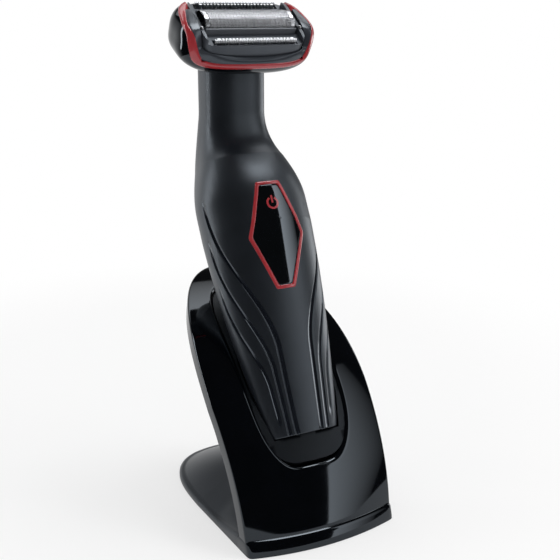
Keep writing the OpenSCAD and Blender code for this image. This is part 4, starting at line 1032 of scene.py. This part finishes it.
# moulded rubber: black and dull, with no highlight
finish["pad_rubber"] = moulded_plastic("pad_rubber", "#0d0d0d", "#141414", 0.75, 0.3, 0.02)
for outer in ("base_plate", "dc_socket", "charge_plug", "end_cap"):
    dress(outer, "black_plastic")
dress("foot_pads", "pad_rubber")
dress("charge_pins", "contact_brass", bevel=PIN_BEVEL_MM)

# Studio
# A pale floor and a white backdrop. A large graded light panel stands at the front right, a slim and a low
# one on the right, one above and two behind. Elsewhere glossy faces mirror a dark room.

FOCAL_PX = 930
PHOTO_PX = 560
SENSOR_MM = 36
CAMERA_AT = (-156.5, -308.9, 190.0)
CAMERA_TURN = 27.5
CAMERA_DIP = 16.2
LIGHT_FAR_M = 1.2
LIGHT_AIM_M = 0.1
FLOOR_R = 300
FLOOR_MID = (20, 110)
FLOOR_POINTS = 96
FLOOR_FADE_M = (0.13, 0.27)
FLOOR_NEAR = 0.6
FILL = 0.5
DARK = 0.03
# where the mirrored backdrop begins and is full, by the direction's Y, and where it ends, by its Z
BACK_SPAN = (0.5, 1.0)
TOP_SPAN = (0.3, 0.55)
WHITE = linear("#ffffff")


def toward(turn_deg, height_deg):
    """Unit vector from the object, turned from the front towards +X and raised above the floor."""
    turn, height = math.radians(turn_deg), math.radians(height_deg)
    return Vector((math.sin(turn) * math.cos(height), -math.cos(turn) * math.cos(height), math.sin(height)))


lens = bpy.data.cameras.new("camera")
lens.sensor_width = SENSOR_MM
lens.lens = FOCAL_PX / PHOTO_PX * SENSOR_MM
camera = add_object("camera", lens)
camera.location = Vector(CAMERA_AT) * MM
camera.rotation_mode = "QUATERNION"
camera.rotation_quaternion = toward(180 - CAMERA_TURN, -CAMERA_DIP).to_track_quat("-Z", "Y")
bpy.context.scene.camera = camera


def combine(tree, operation, first, second):
    """Adds a node that works out one value from two outputs."""
    return add(tree, "Math", {}, {0: first, 1: second}, operation=operation)


def light_panel(name, turn_deg, height_deg, roll_deg, width_m, tall_m, levels):
    """A glowing sheet that faces the object, unseen by the camera. Levels are its radiance, one for all or
    one each for the lower left corner, the lower right one and the upper left one, seen from behind it."""
    first, right, upper = np.broadcast_to(levels, 3).tolist()
    x, y = width_m / 2, tall_m / 2
    mesh = bpy.data.meshes.new(name)
    mesh.from_pydata([(-x, -y, 0), (x, -y, 0), (x, y, 0), (-x, y, 0)], [], [[0, 1, 2, 3]])
    out = toward(turn_deg, height_deg)
    panel = add_object(name, mesh)
    panel.location = Vector((0, 0, LIGHT_AIM_M)) + out * LIGHT_FAR_M
    panel.rotation_mode = "QUATERNION"
    panel.rotation_quaternion = out.to_track_quat("Z", "Y") @ Quaternion((0, 0, 1), math.radians(roll_deg))
    panel.visible_camera = False
    material, tree = new_material(name)
    coords = add(tree, "TexCoord")
    split = add(tree, "SeparateXYZ", links={"Vector": (coords, "Object")})
    across = remap(tree, (split, "X"), (-x, x), (1.0, right / first))
    upward = remap(tree, (split, "Y"), (-y, y), (first, upper))
    level = combine(tree, "MULTIPLY", (across, "Result"), (upward, "Result"))
    light = add(tree, "Emission", {"Color": WHITE}, {"Strength": (level, "Value")})
    add(tree, "OutputMaterial", {}, {"Surface": (light, "Emission")})
    mesh.materials.append(material)


# turn, height and roll in degrees, width and height in metres, then levels
light_panel("right_panel", 46, 19, -22, 0.5, 1.4, (2.7, 0.2, 2.8))
light_panel("far_panel", 98, 12, 0, 0.22, 0.9, 2.5)
light_panel("low_panel", 97, -5, 0, 0.85, 0.32, 3.0)
light_panel("upper_panel", 92, 70, 0, 0.4, 0.36, 9.0)
light_panel("rear_strip", -125, 16, 0, 0.15, 1.25, 7.0)
light_panel("rear_panel", 165, 54, 0, 1.6, 0.46, (0.6, 0.6, 3.0))


def ray_kinds(tree):
    """The Light Path node, and a node that is 1 for rays that come off a mirror or through glass."""
    path = add(tree, "LightPath")
    mirror = combine(tree, "MAXIMUM", (path, "Is Glossy Ray"), (path, "Is Transmission Ray"))
    return path, mirror


# white for the eye, white backdrop and dark front in the mirror of glossy faces, even fill for the rest
world = bpy.data.worlds.new("studio")
bpy.context.scene.world = world
world.use_nodes = True
sky = world.node_tree
backdrop = sky.nodes["Background"]
sky_path, sky_mirror = ray_kinds(sky)
sky_coords = add(sky, "TexCoord")
sky_axes = add(sky, "SeparateXYZ", links={"Vector": (sky_coords, "Generated")})
sky_back = remap(sky, (sky_axes, "Y"), BACK_SPAN, (DARK, 1.0))
sky_low = remap(sky, (sky_axes, "Z"), TOP_SPAN, (1.0, DARK))
sky_image = combine(sky, "MINIMUM", (sky_back, "Result"), (sky_low, "Result"))
sky_light = add(sky, "Mix", {"A": FILL}, {"Factor": (sky_mirror, "Value"), "B": (sky_image, "Value")})
sky_level = combine(sky, "MAXIMUM", (sky_light, "Result"), (sky_path, "Is Camera Ray"))
sky.links.new(sky_level.outputs["Value"], backdrop.inputs["Strength"])
backdrop.inputs["Color"].default_value = WHITE

# the floor keeps the object's shadow near it and passes into the white backdrop at its rim
floor_turn = np.linspace(0, 2 * np.pi, FLOOR_POINTS, endpoint=False)
floor_ring = np.stack([np.cos(floor_turn), np.sin(floor_turn), 0 * floor_turn], axis=-1) * FLOOR_R * MM
floor_mesh = bpy.data.meshes.new("floor")
floor_mesh.from_pydata(floor_ring.tolist(), [], [list(range(FLOOR_POINTS))])
floor = add_object("floor", floor_mesh)
floor.location = (FLOOR_MID[0] * MM, FLOOR_MID[1] * MM, 0)
pale, pale_tree = new_material("pale_floor")
pale_shader = add(pale_tree, "BsdfPrincipled",
                  {"Base Color": linear("#f3f3f3"), "Roughness": 0.8, "Specular IOR Level": 0.1})
floor_path, floor_mirror = ray_kinds(pale_tree)
floor_seen = combine(pale_tree, "MAXIMUM", (floor_mirror, "Value"), (floor_path, "Is Camera Ray"))
floor_coords = add(pale_tree, "TexCoord")
floor_way = add(pale_tree, "VectorMath", {}, {0: (floor_coords, "Object")}, operation="LENGTH")
floor_fade = remap(pale_tree, (floor_way, "Value"), FLOOR_FADE_M, (FLOOR_NEAR, 1.0),
                   interpolation_type="SMOOTHSTEP")
floor_share = combine(pale_tree, "MULTIPLY", (floor_seen, "Value"), (floor_fade, "Result"))
floor_glow = add(pale_tree, "Emission", {"Color": WHITE, "Strength": 1.0})
floor_mix = add(pale_tree, "MixShader", {},
                {0: (floor_share, "Value"), 1: (pale_shader, "BSDF"), 2: (floor_glow, "Emission")})
add(pale_tree, "OutputMaterial", {}, {"Surface": (floor_mix, "Shader")})
floor_mesh.materials.append(pale)

bpy.context.scene.view_settings.view_transform = "Standard"
